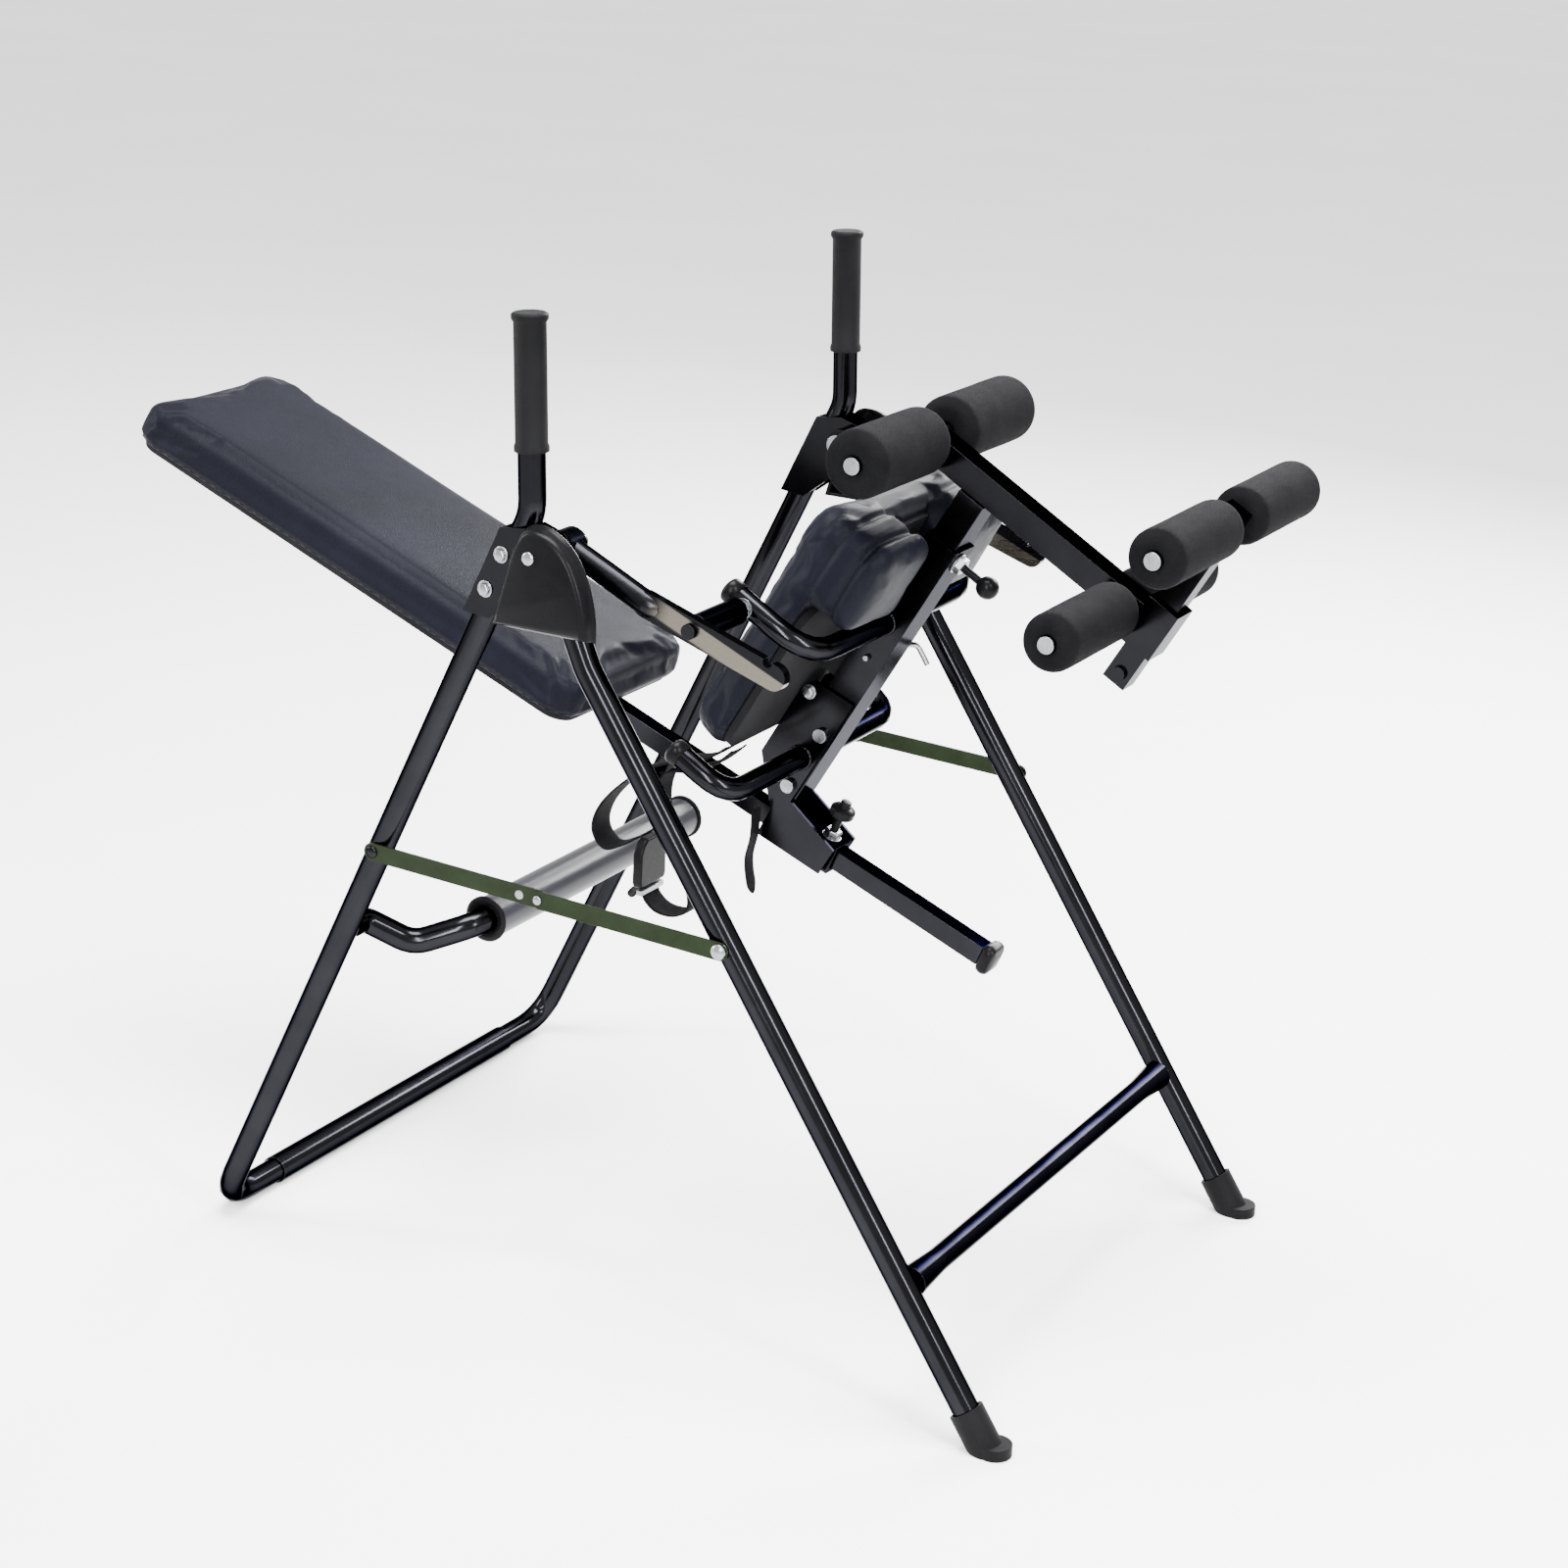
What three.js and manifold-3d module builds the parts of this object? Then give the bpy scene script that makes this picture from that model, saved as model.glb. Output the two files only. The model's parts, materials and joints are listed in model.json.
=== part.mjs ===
// Folding inversion table with a seat: an A-frame, a carriage that swings between its legs, a sliding backrest
// and a sliding leg post.
// Millimetres. X points to the user's feet, Y to the user's left, Z up. The floor is Z = 0.
// The last lines move the origin to the floor under the middle of the overall box.
import * as THREE from 'three';
import { mergeVertices } from 'three/addons/utils/BufferGeometryUtils.js';
import Module from 'manifold-3d';

const wasm = await Module();
wasm.setup();

// ---------------------------------------------------------------- driving dimensions
const GAP = 0.3;                  // clearance between pieces that touch
const TUBE_R = 16;                // frame tube
const LEG_Y = 366;                // leg planes, from the middle
const PIVOT = { x: 42, z: 943 };  // main pivot: the carriage and the front legs both turn on it
const PIVOT_R = 8;

const REAR_FOOT_X = -430;         // axis of the bar on the floor
const FLOOR_BAR_R = 18;           // its sleeve
const HANDLE_BEND = { x: 20, z: 985 };
const HANDLE_TOP = { x: 12, z: 1203 };
const FRONT_BEND = { x: 97, z: 815 };
const FRONT_FOOT_X = 649;         // where the front leg's axis meets the floor
const CROSSBAR_Z = 171;
const STOP = { x: -125, z: 425, halfLength: 230 };
const STOP_JOINT_Z = 430;

const LINK_Z_REAR = 544;
const LINK_Z_FRONT = 528;
const LINK_HEIGHT = 22;
const LINK_THICK = 2.5;

const SEAT_TILT = THREE.MathUtils.degToRad(60);    // seat beam above horizontal
const SEAT_ORIGIN = { x: 205, z: 620 };            // on the beam's lower face
const BACK_TILT = THREE.MathUtils.degToRad(21.5);  // backrest above horizontal
const BACK_ORIGIN = { x: 290, z: 490.5 };          // on the spine's axis

const BEAM = { width: 50, height: 44, wall: 3, from: -42, to: 350 };
const LEG_TUBE = { width: 42, height: 36 };
const CRADLE_R = 14;
const CRADLE_Y = 205;
const CRADLE_TOP = 149;
const UPPER_CRADLE = { u: 222, h: 28 };
const LOWER_CRADLE = { u: 10, h: 23 };
const ARM_Y = 330;
const ARM_TUBE_R = 14.5;
const ARM_FLAT = { height: 30, thick: 12 };

const SEAT_PAD = { from: 10, to: 362, low: 80.3, high: 135, halfWidth: 170 };
const SEAT_ROLL = { from: 240, low: 14, inner: 36 };   // padded roll under each side of the seat's front
const SPINE = 25;
const SLEEVE = { outer: 38, inner: 26.4, from: -160, to: -60 };
const TAIL = 157;
const BACK_PAD = { from: -1128, to: -398, low: 22.5, high: 74, halfWidth: 145 };

const POST_U = 432;
const KNEE = { u: 438, h: 107, r: 40, halfLength: 200 };
const REAR_ANKLE = { u: 427, h: -191, r: 34, halfLength: 210 };
const FRONT_ANKLE = { u: 583, h: -235, r: 34, halfLength: 210 };
const ANKLE_BAR = { size: 30, from: 348, to: 602 };
const SHAFT_R = 6;

const SIDES = [{ name: 'right', sign: -1 }, { name: 'left', sign: 1 }];

// ---------------------------------------------------------------- materials
const finish = (color, roughness, metalness) => ({ color, roughness, metalness });
const BLACK_PAINT = finish(0x141416, 0.3, 0.4);
const PLATED_STEEL = finish(0xb9bbbd, 0.35, 0.9);
const ZINC_STRIP = finish(0x86877f, 0.45, 0.8);
const BLACK_RUBBER = finish(0x17171a, 0.85, 0);
const BLACK_PLASTIC = finish(0x1b1b1e, 0.45, 0);
const GREY_PLASTIC = finish(0x55565c, 0.3, 0);
const BLACK_VINYL = finish(0x1a1b20, 0.55, 0);
const BOARD_CLOTH = finish(0x1a1a1c, 0.9, 0);
const BLACK_FOAM = finish(0x222226, 0.9, 0);
const WEBBING = finish(0x16161a, 0.9, 0);

// ---------------------------------------------------------------- helpers
const vec = (x, y, z) => new THREE.Vector3(x, y, z);

// A tube's centre line with few stations: straight runs and rounded corners. The stations are the extrusion's steps.
class StationPath extends THREE.Curve {
  constructor(corners, bendRadius, cornerSteps = 5) {
    super();
    this.stations = [corners[0].clone()];
    for (let i = 1; i < corners.length - 1; i++) {
      const before = corners[i - 1].clone().sub(corners[i]);
      const after = corners[i + 1].clone().sub(corners[i]);
      const halfAngle = before.angleTo(after) / 2;
      const reach = Math.min(bendRadius / Math.tan(halfAngle), before.length() * 0.49, after.length() * 0.49);
      const start = corners[i].clone().addScaledVector(before.normalize(), reach);
      const end = corners[i].clone().addScaledVector(after.normalize(), reach);
      const corner = new THREE.QuadraticBezierCurve3(start, corners[i], end);
      this.stations.push(...corner.getPoints(cornerSteps));
    }
    this.stations.push(corners[corners.length - 1].clone());
  }

  get steps() {
    return this.stations.length - 1;
  }

  getSpacedPoints() {
    return this.stations;
  }

  getTangentAt(t) {
    const i = Math.round(t * this.steps);
    const tangent = vec(0, 0, 0);
    if (i > 0) tangent.add(this.stations[i].clone().sub(this.stations[i - 1]).normalize());
    if (i < this.steps) tangent.add(this.stations[i + 1].clone().sub(this.stations[i]).normalize());
    return tangent.normalize();
  }
}

function circleShape(radius, sides) {
  const shape = new THREE.Shape();
  for (let i = 0; i < sides; i++) {
    const angle = (2 * Math.PI * i) / sides;
    if (i === 0) shape.moveTo(radius, 0);
    else shape.lineTo(radius * Math.cos(angle), radius * Math.sin(angle));
  }
  return shape;
}

function tube(corners, radius, bendRadius, sides = 14) {
  const path = new StationPath(corners, bendRadius);
  return new THREE.ExtrudeGeometry(circleShape(radius, sides), { steps: path.steps, extrudePath: path });
}

// A straight cylinder between two points.
function rod(from, to, radius, sides = 16) {
  const axis = to.clone().sub(from);
  const geometry = new THREE.CylinderGeometry(radius, radius, axis.length(), sides);
  geometry.applyQuaternion(new THREE.Quaternion().setFromUnitVectors(vec(0, 1, 0), axis.clone().normalize()));
  return geometry.translate(...from.clone().add(to).multiplyScalar(0.5).toArray());
}

// A turned piece about the line through (x, z) along Y.
// profile is [radius, y] pairs, on the axis at both ends or closed.
function turned(profile, x, z, sides = 24) {
  const points = profile.map(([r, y]) => new THREE.Vector2(r, y));
  return new THREE.LatheGeometry(points, sides).translate(x, 0, z);
}

function block(sizeX, sizeY, sizeZ, x, y, z) {
  return new THREE.BoxGeometry(sizeX, sizeY, sizeZ).translate(x, y, z);
}

// A plate with its outline in X and Z, between two values of Y.
function plate(outline, yLow, yHigh) {
  const geometry = new THREE.ExtrudeGeometry(outline, { depth: yHigh - yLow, bevelEnabled: false, curveSegments: 8 });
  return geometry.rotateX(Math.PI / 2).translate(0, yHigh, 0);
}

function polygon(points) {
  const shape = new THREE.Shape();
  points.forEach(([x, z], i) => (i === 0 ? shape.moveTo(x, z) : shape.lineTo(x, z)));
  return shape;
}

function roundHole(shape, x, z, radius) {
  const hole = new THREE.Path();
  hole.absarc(x, z, radius, 0, 2 * Math.PI, true);
  shape.holes.push(hole);
}

// A flat bar's outline with round ends, from one point to another.
function slotOutline(from, to, width) {
  const angle = Math.atan2(to.z - from.z, to.x - from.x);
  const shape = new THREE.Shape();
  shape.absarc(from.x, from.z, width / 2, angle + Math.PI / 2, angle + 1.5 * Math.PI, false);
  shape.absarc(to.x, to.z, width / 2, angle - Math.PI / 2, angle + Math.PI / 2, false);
  return shape;
}

function mirrorY(geometry) {
  const mirrored = (geometry.index ? geometry.toNonIndexed() : geometry.clone()).scale(1, -1, 1);
  const position = mirrored.getAttribute('position');
  for (let i = 0; i < position.count; i += 3) {
    const first = new THREE.Vector3().fromBufferAttribute(position, i);
    const second = new THREE.Vector3().fromBufferAttribute(position, i + 1);
    position.setXYZ(i, second.x, second.y, second.z);
    position.setXYZ(i + 1, first.x, first.y, first.z);
  }
  mirrored.deleteAttribute('normal');
  mirrored.deleteAttribute('uv');
  return mergeVertices(mirrored, 1e-3);
}

// The right side (negative Y) is drawn; the left is its mirror image.
const onSide = (geometry, side) => (side.sign < 0 ? geometry : mirrorY(geometry));

function toSolid(geometry) {
  const bare = geometry.clone();
  bare.deleteAttribute('normal');
  bare.deleteAttribute('uv');
  const merged = mergeVertices(bare, 1e-3);
  const indices = [];
  for (let i = 0; i < merged.index.count; i += 3) {
    const [a, b, c] = [merged.index.getX(i), merged.index.getX(i + 1), merged.index.getX(i + 2)];
    if (a !== b && b !== c && c !== a) indices.push(a, b, c);
  }
  const vertProperties = new Float32Array(merged.getAttribute('position').array);
  return new wasm.Manifold(new wasm.Mesh({ numProp: 3, vertProperties, triVerts: new Uint32Array(indices) }));
}

function toGeometry(solid) {
  const mesh = solid.getMesh();
  const geometry = new THREE.BufferGeometry();
  geometry.setAttribute('position', new THREE.BufferAttribute(new Float32Array(mesh.vertProperties), 3));
  geometry.setIndex(new THREE.BufferAttribute(new Uint32Array(mesh.triVerts), 1));
  return geometry;
}

const join = (...parts) => toGeometry(parts.map(toSolid).reduce((sum, part) => sum.add(part)));
function cut(body, ...cutters) {
  return toGeometry(cutters.map(toSolid).reduce((rest, cutter) => rest.subtract(cutter), toSolid(body)));
}
const common = (body, other) => toGeometry(toSolid(body).intersect(toSolid(other)));

function add(group, name, geometry, look) {
  const mesh = new THREE.Mesh(geometry, new THREE.MeshStandardMaterial(look));
  mesh.name = name;
  group.add(mesh);
  return mesh;
}

// ---------------------------------------------------------------- lines of the frame
const rearLegX = (z) => THREE.MathUtils.mapLinear(z, FLOOR_BAR_R, HANDLE_BEND.z, REAR_FOOT_X, HANDLE_BEND.x);
const frontLegX = (z) => THREE.MathUtils.mapLinear(z, 0, FRONT_BEND.z, FRONT_FOOT_X, FRONT_BEND.x);
const frontLegPoint = (z) => vec(frontLegX(z), -LEG_Y, z);

// ---------------------------------------------------------------- rear frame
const SLEEVE_END_Y = 262;         // the floor bar's sleeve covers the middle

function rearLeg() {
  const body = tube([
    vec(REAR_FOOT_X, -SLEEVE_END_Y - GAP, FLOOR_BAR_R),
    vec(REAR_FOOT_X, -LEG_Y, FLOOR_BAR_R),
    vec(HANDLE_BEND.x, -LEG_Y, HANDLE_BEND.z),
    vec(HANDLE_TOP.x, -LEG_Y, HANDLE_TOP.z),
  ], TUBE_R, 62);
  return body;
}

function floorBar() {
  const end = SLEEVE_END_Y;
  return turned([[0, -end], [FLOOR_BAR_R, -end], [FLOOR_BAR_R, end], [0, end]], REAR_FOOT_X, FLOOR_BAR_R, 20);
}

// Bowed tube between the rear legs, with the padded stop on its middle.
function stopTube() {
  const jointX = rearLegX(STOP_JOINT_Z);
  const half = [
    vec(jointX, -LEG_Y + TUBE_R + GAP, STOP_JOINT_Z),
    vec(jointX, -LEG_Y + TUBE_R + 22, STOP_JOINT_Z),
    vec(jointX + 50, -LEG_Y + 70, STOP.z - 26),
    vec(STOP.x, -STOP.halfLength - 24, STOP.z),
  ];
  const mirrored = half.map((p) => vec(p.x, -p.y, p.z)).reverse();
  return tube([...half, ...mirrored], TUBE_R, 42);
}

function stopRoller() {
  const end = STOP.halfLength;
  const inner = TUBE_R + 1;
  const outer = 26;
  const profile = [
    [inner, -end], [outer - 2, -end], [outer, -end + 2], [outer, end - 2], [outer - 2, end], [inner, end], [inner, -end],
  ];
  return turned(profile, STOP.x, STOP.z, 24);
}

// Channel bracket: two cheeks that hold the front leg and the pivot, joined behind the rear leg.
const CHEEK = { inner: LEG_Y - TUBE_R - GAP, outer: LEG_Y + TUBE_R + GAP, thick: 3 };

function hingeBracket() {
  const back = 22;
  const cheekOutline = () => {
    const shape = polygon([
      [rearLegX(862) - back, 862], [rearLegX(862) + 12, 858], [PIVOT.x + 16, PIVOT.z - 22],
      [PIVOT.x + 20, PIVOT.z], [PIVOT.x + 10, PIVOT.z + 18], [rearLegX(966) + 14, 970], [rearLegX(966) - back, 966],
    ]);
    roundHole(shape, PIVOT.x, PIVOT.z, PIVOT_R + GAP);
    return shape;
  };
  const outerCheek = plate(cheekOutline(), -CHEEK.outer - CHEEK.thick, -CHEEK.outer);
  const innerCheek = plate(cheekOutline(), -CHEEK.inner, -CHEEK.inner + CHEEK.thick);
  const web = plate(polygon([
    [rearLegX(862) - back, 862], [rearLegX(862) - back + 3, 862],
    [rearLegX(966) - back + 3, 966], [rearLegX(966) - back, 966],
  ]), -CHEEK.outer - 1, -CHEEK.inner + 1);
  return join(outerCheek, innerCheek, web);
}

// Moulded cover over the outer cheek: a D-shaped face with a wall round its arc, open at the bottom and at the back.
function hingeCover() {
  const faceY = -CHEEK.outer - CHEEK.thick - 22;
  const backY = -CHEEK.outer - CHEEK.thick - GAP;
  const centre = { x: 30, z: 892 };
  const dome = (grow) => {
    const shape = new THREE.Shape();
    const bottom = 856 - (grow > 0 ? 0 : 4);
    shape.moveTo(centre.x - 42 - grow, bottom);
    shape.lineTo(centre.x + 88 + grow, bottom);
    shape.bezierCurveTo(centre.x + 80 + grow, centre.z + 40, centre.x + 44 + grow, centre.z + 84 + grow,
      centre.x - 8, centre.z + 84 + grow);
    shape.lineTo(centre.x - 16 - grow, centre.z + 70);
    shape.lineTo(centre.x - 42 - grow, bottom);
    return shape;
  };
  const shell = plate(dome(0), faceY, backY);
  const hollow = plate(dome(-3), faceY + 3, backY + 1);
  return cut(shell, hollow);
}

function pivotBolt() {
  const head = -CHEEK.outer - CHEEK.thick - GAP;
  const tip = -ARM_Y + ARM_TUBE_R + 4;
  return turned([
    [0, head - 7], [12, head - 7], [12, head], [PIVOT_R, head], [PIVOT_R, tip], [13, tip], [13, tip + 8], [0, tip + 8],
  ], PIVOT.x, PIVOT.z, 18);
}

function handleGrip() {
  const base = vec(HANDLE_BEND.x, -LEG_Y, HANDLE_BEND.z);
  const top = vec(HANDLE_TOP.x, -LEG_Y, HANDLE_TOP.z);
  const lean = Math.atan2(top.x - base.x, top.z - base.z);
  const hole = TUBE_R + 0.6;
  const body = new THREE.LatheGeometry([
    [hole, -150], [20, -150], [20, -144], [18.5, -140], [18.5, -6], [21, -2], [21, 3], [18, 5], [0, 5],
    [0, GAP], [hole, GAP], [hole, -150],
  ].map(([r, y]) => new THREE.Vector2(r, y)), 24);
  return body.rotateX(Math.PI / 2).rotateY(lean).translate(top.x, top.y, top.z);
}

// ---------------------------------------------------------------- front frame
const BOOT_R = 20.5;
const LEG_END_Z = 16;             // height of the leg's axis where the tube ends, inside its boot

function frontLeg() {
  const upper = vec(FRONT_BEND.x, -LEG_Y, FRONT_BEND.z);
  const pivot = vec(PIVOT.x, -LEG_Y, PIVOT.z);
  const top = pivot.clone().addScaledVector(pivot.clone().sub(upper).normalize(), 11);
  const body = tube([top, upper, frontLegPoint(LEG_END_Z)], TUBE_R, 120);
  const pivotHole = rod(vec(PIVOT.x, -LEG_Y - 30, PIVOT.z), vec(PIVOT.x, -LEG_Y + 30, PIVOT.z), PIVOT_R + 0.6, 18);
  return cut(body, pivotHole);
}

function crossbar() {
  const end = LEG_Y - TUBE_R - GAP;
  const profile = [
    [0, -end], [19, -end], [17.5, -end + 18], [14.5, -end + 62],
    [14.5, end - 62], [17.5, end - 18], [19, end], [0, end],
  ];
  return turned(profile, frontLegX(CROSSBAR_Z), CROSSBAR_Z, 18);
}

// Rubber boot on the leg's end, cut level with the floor.
function frontBoot() {
  const outside = rod(frontLegPoint(44), frontLegPoint(-30), BOOT_R, 20);
  const toe = rod(vec(FRONT_FOOT_X + 8, -LEG_Y, 0), vec(FRONT_FOOT_X + 8, -LEG_Y, 14), BOOT_R, 20);
  const aboveFloor = block(300, 100, 200, FRONT_FOOT_X, -LEG_Y, 100);
  const legSpace = rod(frontLegPoint(LEG_END_Z - 0.5), frontLegPoint(120), TUBE_R + 0.6, 24);
  return cut(common(join(outside, toe), aboveFloor), legSpace);
}

// ---------------------------------------------------------------- spreader links
const linkRear = { x: rearLegX(LINK_Z_REAR), z: LINK_Z_REAR };
const linkFront = { x: frontLegX(LINK_Z_FRONT), z: LINK_Z_FRONT };
const linkMiddle = { x: (linkRear.x + linkFront.x) / 2, z: (linkRear.z + linkFront.z) / 2 };
const LINK_Y = LEG_Y + TUBE_R + 1;        // inner face of the layer next to the leg
const LINK_HOLE_R = 5;

function linkHalf(from, to, yNear) {
  const outline = slotOutline(from, to, LINK_HEIGHT);
  roundHole(outline, from.x, from.z, LINK_HOLE_R + 0.6);
  return plate(outline, -yNear - LINK_THICK, -yNear);
}

// Domed bolt that holds a link's end to its leg.
function linkBolt(point, yNear) {
  const seat = -yNear - LINK_THICK - GAP;
  const inner = -LEG_Y - TUBE_R - GAP;
  return turned([
    [0, seat - 6], [5, seat - 5.2], [9, seat - 2.5], [9.5, seat], [LINK_HOLE_R, seat], [LINK_HOLE_R, inner], [0, inner],
  ], point.x, point.z, 18);
}

// ---------------------------------------------------------------- carriage
// Drawn in the seat's own axes: x along the beam, z away from it.
const toSeat = (point) => {
  const dx = point.x - SEAT_ORIGIN.x;
  const dz = point.z - SEAT_ORIGIN.z;
  return {
    x: dx * Math.cos(SEAT_TILT) + dz * Math.sin(SEAT_TILT),
    z: -dx * Math.sin(SEAT_TILT) + dz * Math.cos(SEAT_TILT),
  };
};
const toWorld = (point) => ({
  x: SEAT_ORIGIN.x + point.x * Math.cos(SEAT_TILT) - point.z * Math.sin(SEAT_TILT),
  z: SEAT_ORIGIN.z + point.x * Math.sin(SEAT_TILT) + point.z * Math.cos(SEAT_TILT),
});

const ARM_BOLT = { x: UPPER_CRADLE.u, z: 122 };    // seat axes
const ARM_BOLT_R = 6;

// Arm: an eye on the pivot, a short round tube, then the tube pressed flat.
function swingArm() {
  const bolt = toWorld(ARM_BOLT);
  const flatStart = { x: 150, z: 893 };
  const slope = Math.atan2(bolt.z - flatStart.z, bolt.x - flatStart.x);
  const end = { x: bolt.x + 112 * Math.cos(slope), z: bolt.z + 112 * Math.sin(slope) };
  const eye = rod(vec(PIVOT.x, -ARM_Y - ARM_TUBE_R, PIVOT.z), vec(PIVOT.x, -ARM_Y + ARM_TUBE_R, PIVOT.z), 19, 20);
  const round = rod(vec(PIVOT.x, -ARM_Y, PIVOT.z), vec(flatStart.x, -ARM_Y, flatStart.z), ARM_TUBE_R, 16);
  const flatOutline = slotOutline(flatStart, end, ARM_FLAT.height);
  const flat = plate(flatOutline, -ARM_Y - ARM_FLAT.thick / 2, -ARM_Y + ARM_FLAT.thick / 2);
  const swell = new THREE.SphereGeometry(15, 12, 6).scale(1.5, 0.95, 1).rotateY(-slope);
  swell.translate(flatStart.x, -ARM_Y, flatStart.z);
  const across = (x, z, radius) => rod(vec(x, -ARM_Y - 40, z), vec(x, -ARM_Y + 40, z), radius, 18);
  const notchAt = {
    x: end.x - 12 * Math.cos(slope) - 13 * Math.sin(slope),
    z: end.z - 12 * Math.sin(slope) + 13 * Math.cos(slope),
  };
  return cut(join(eye, round, swell, flat),
    across(PIVOT.x, PIVOT.z, PIVOT_R + 0.6),
    across(bolt.x, bolt.z, ARM_BOLT_R + GAP),
    across(notchAt.x, notchAt.z, 6));
}

// Long bolt from the arm to the cradle, with its spacer.
function armBolt() {
  const armOuter = -ARM_Y - ARM_FLAT.thick / 2 - GAP;
  const armInner = -ARM_Y + ARM_FLAT.thick / 2 + GAP;
  const spacerEnd = -CRADLE_Y - CRADLE_R - 16;
  const tip = -CRADLE_Y + CRADLE_R + 4;
  return turned([
    [0, armOuter - 6], [9, armOuter - 6], [9, armOuter], [ARM_BOLT_R, armOuter], [ARM_BOLT_R, armInner], [16, armInner],
    [16, spacerEnd], [ARM_BOLT_R, spacerEnd], [ARM_BOLT_R, tip], [0, tip],
  ], ARM_BOLT.x, ARM_BOLT.z, 18);
}

// One side of a cradle: out from the beam, then up beside the seat.
function cradle(place, top) {
  const body = tube([
    vec(place.u, -BEAM.width / 2 - GAP, place.h),
    vec(place.u, -CRADLE_Y, place.h),
    vec(place.u, -CRADLE_Y, top),
  ], CRADLE_R, 55);
  return body;
}

function upperCradle() {
  const holeReach = 40;
  const holeStart = vec(ARM_BOLT.x, -CRADLE_Y - holeReach, ARM_BOLT.z);
  const hole = rod(holeStart, vec(ARM_BOLT.x, -CRADLE_Y + holeReach, ARM_BOLT.z), ARM_BOLT_R + GAP, 18);
  return cut(cradle(UPPER_CRADLE, CRADLE_TOP), hole);
}

const LEG_PIN_U = 331;
const LOCK_PIN = { u: 172, h: 22 };
const PIN_R = 5;
const WIRE_R = 3.5;

function boxTube(from, to, width, height, wallY, wallZ, zMiddle) {
  const outside = block(to - from, width, height, (from + to) / 2, 0, zMiddle);
  const inside = block(to - from + 20, width - 2 * wallY, height - 2 * wallZ, (from + to) / 2, 0, zMiddle);
  return cut(outside, inside);
}

function seatBeam() {
  const body = boxTube(BEAM.from, BEAM.to, BEAM.width, BEAM.height, BEAM.wall, BEAM.wall, BEAM.height / 2);
  const legPinHole = rod(vec(LEG_PIN_U, 0, -10), vec(LEG_PIN_U, 0, 10), PIN_R + 0.6, 18);
  const acrossHole = (u, h, radius) => rod(vec(u, -60, h), vec(u, 60, h), radius, 18);
  return cut(body, legPinHole, acrossHole(LOCK_PIN.u, LOCK_PIN.h, WIRE_R + 0.6),
    ...GUSSET_BOLTS.map(([u, h]) => acrossHole(u, h, GUSSET_BOLT_R + GAP)));
}

// ---------------------------------------------------------------- backrest
// Its axes: x along the spine towards its tail, z up from it.
const backToWorld = (point) => ({
  x: BACK_ORIGIN.x + point.x * Math.cos(BACK_TILT) + point.z * Math.sin(BACK_TILT),
  z: BACK_ORIGIN.z - point.x * Math.sin(BACK_TILT) + point.z * Math.cos(BACK_TILT),
});
const backToSeat = (x, z) => {
  const seat = toSeat(backToWorld({ x, z }));
  return [seat.x, seat.z];
};

const GUSSET_BOLTS = [[53, 16], [-30, 16]];
const GUSSET_BOLT_R = 5;
const GUSSET = { inner: BEAM.width / 2 + GAP, thick: 4 };

// Side plate that joins the beam to the spine's sleeve.
function gusset() {
  const half = SLEEVE.outer / 2;
  const outline = polygon([
    [112, 3], [104, 60], [88, 69], [-18, 69],
    backToSeat(SLEEVE.from + 4, half), backToSeat(SLEEVE.from, -half),
    backToSeat(SLEEVE.to - 6, -half), backToSeat(SLEEVE.to, half),
    [BEAM.from - 4, 3],
  ].reverse());
  const body = plate(outline, -GUSSET.inner - GUSSET.thick, -GUSSET.inner);
  const across = (u, h, radius, sides) => rod(vec(u, -60, h), vec(u, 0, h), radius, sides);
  return cut(body, across(LOWER_CRADLE.u, LOWER_CRADLE.h, CRADLE_R + GAP, 24),
    ...GUSSET_BOLTS.map(([u, h]) => across(u, h, GUSSET_BOLT_R + GAP, 18)));
}

function gussetBolt(u, h) {
  const outer = GUSSET.inner + GUSSET.thick + GAP;
  return turned([
    [0, -outer - 6], [9, -outer - 6], [9, -outer], [GUSSET_BOLT_R, -outer],
    [GUSSET_BOLT_R, outer], [8, outer], [8, outer + 7], [0, outer + 7],
  ], u, h, 12);
}

function roundedBoard(from, to, halfWidth, low, high, corner) {
  const shape = new THREE.Shape();
  shape.absarc(to - corner, halfWidth - corner, corner, 0, Math.PI / 2);
  shape.absarc(from + corner, halfWidth - corner, corner, Math.PI / 2, Math.PI);
  shape.absarc(from + corner, -halfWidth + corner, corner, Math.PI, 1.5 * Math.PI);
  shape.absarc(to - corner, -halfWidth + corner, corner, 1.5 * Math.PI, 2 * Math.PI);
  const board = new THREE.ExtrudeGeometry(shape, { depth: high - low, bevelEnabled: false, curveSegments: 5 });
  return board.translate(0, 0, low);
}

// Board under the cushion, narrow between the front rolls, on two standoffs.
function seatBoard() {
  const { low } = SEAT_PAD;
  const boardTo = SEAT_ROLL.from - 2;
  const board = roundedBoard(SEAT_PAD.from + 12, boardTo, SEAT_PAD.halfWidth - 14, low - 10.3, low - GAP, 30);
  const tongueFrom = boardTo - 20;
  const tongueTo = SEAT_PAD.to - 24;
  const tongueMiddle = (tongueFrom + tongueTo) / 2;
  const tongue = block(tongueTo - tongueFrom, 2 * SEAT_ROLL.inner - 4, 10, tongueMiddle, 0, low - GAP - 5);
  const standoff = (u) => block(36, 44, 26, u, 0, BEAM.height + GAP + 13);
  return join(board, tongue, standoff(140), standoff(300));
}

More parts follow.
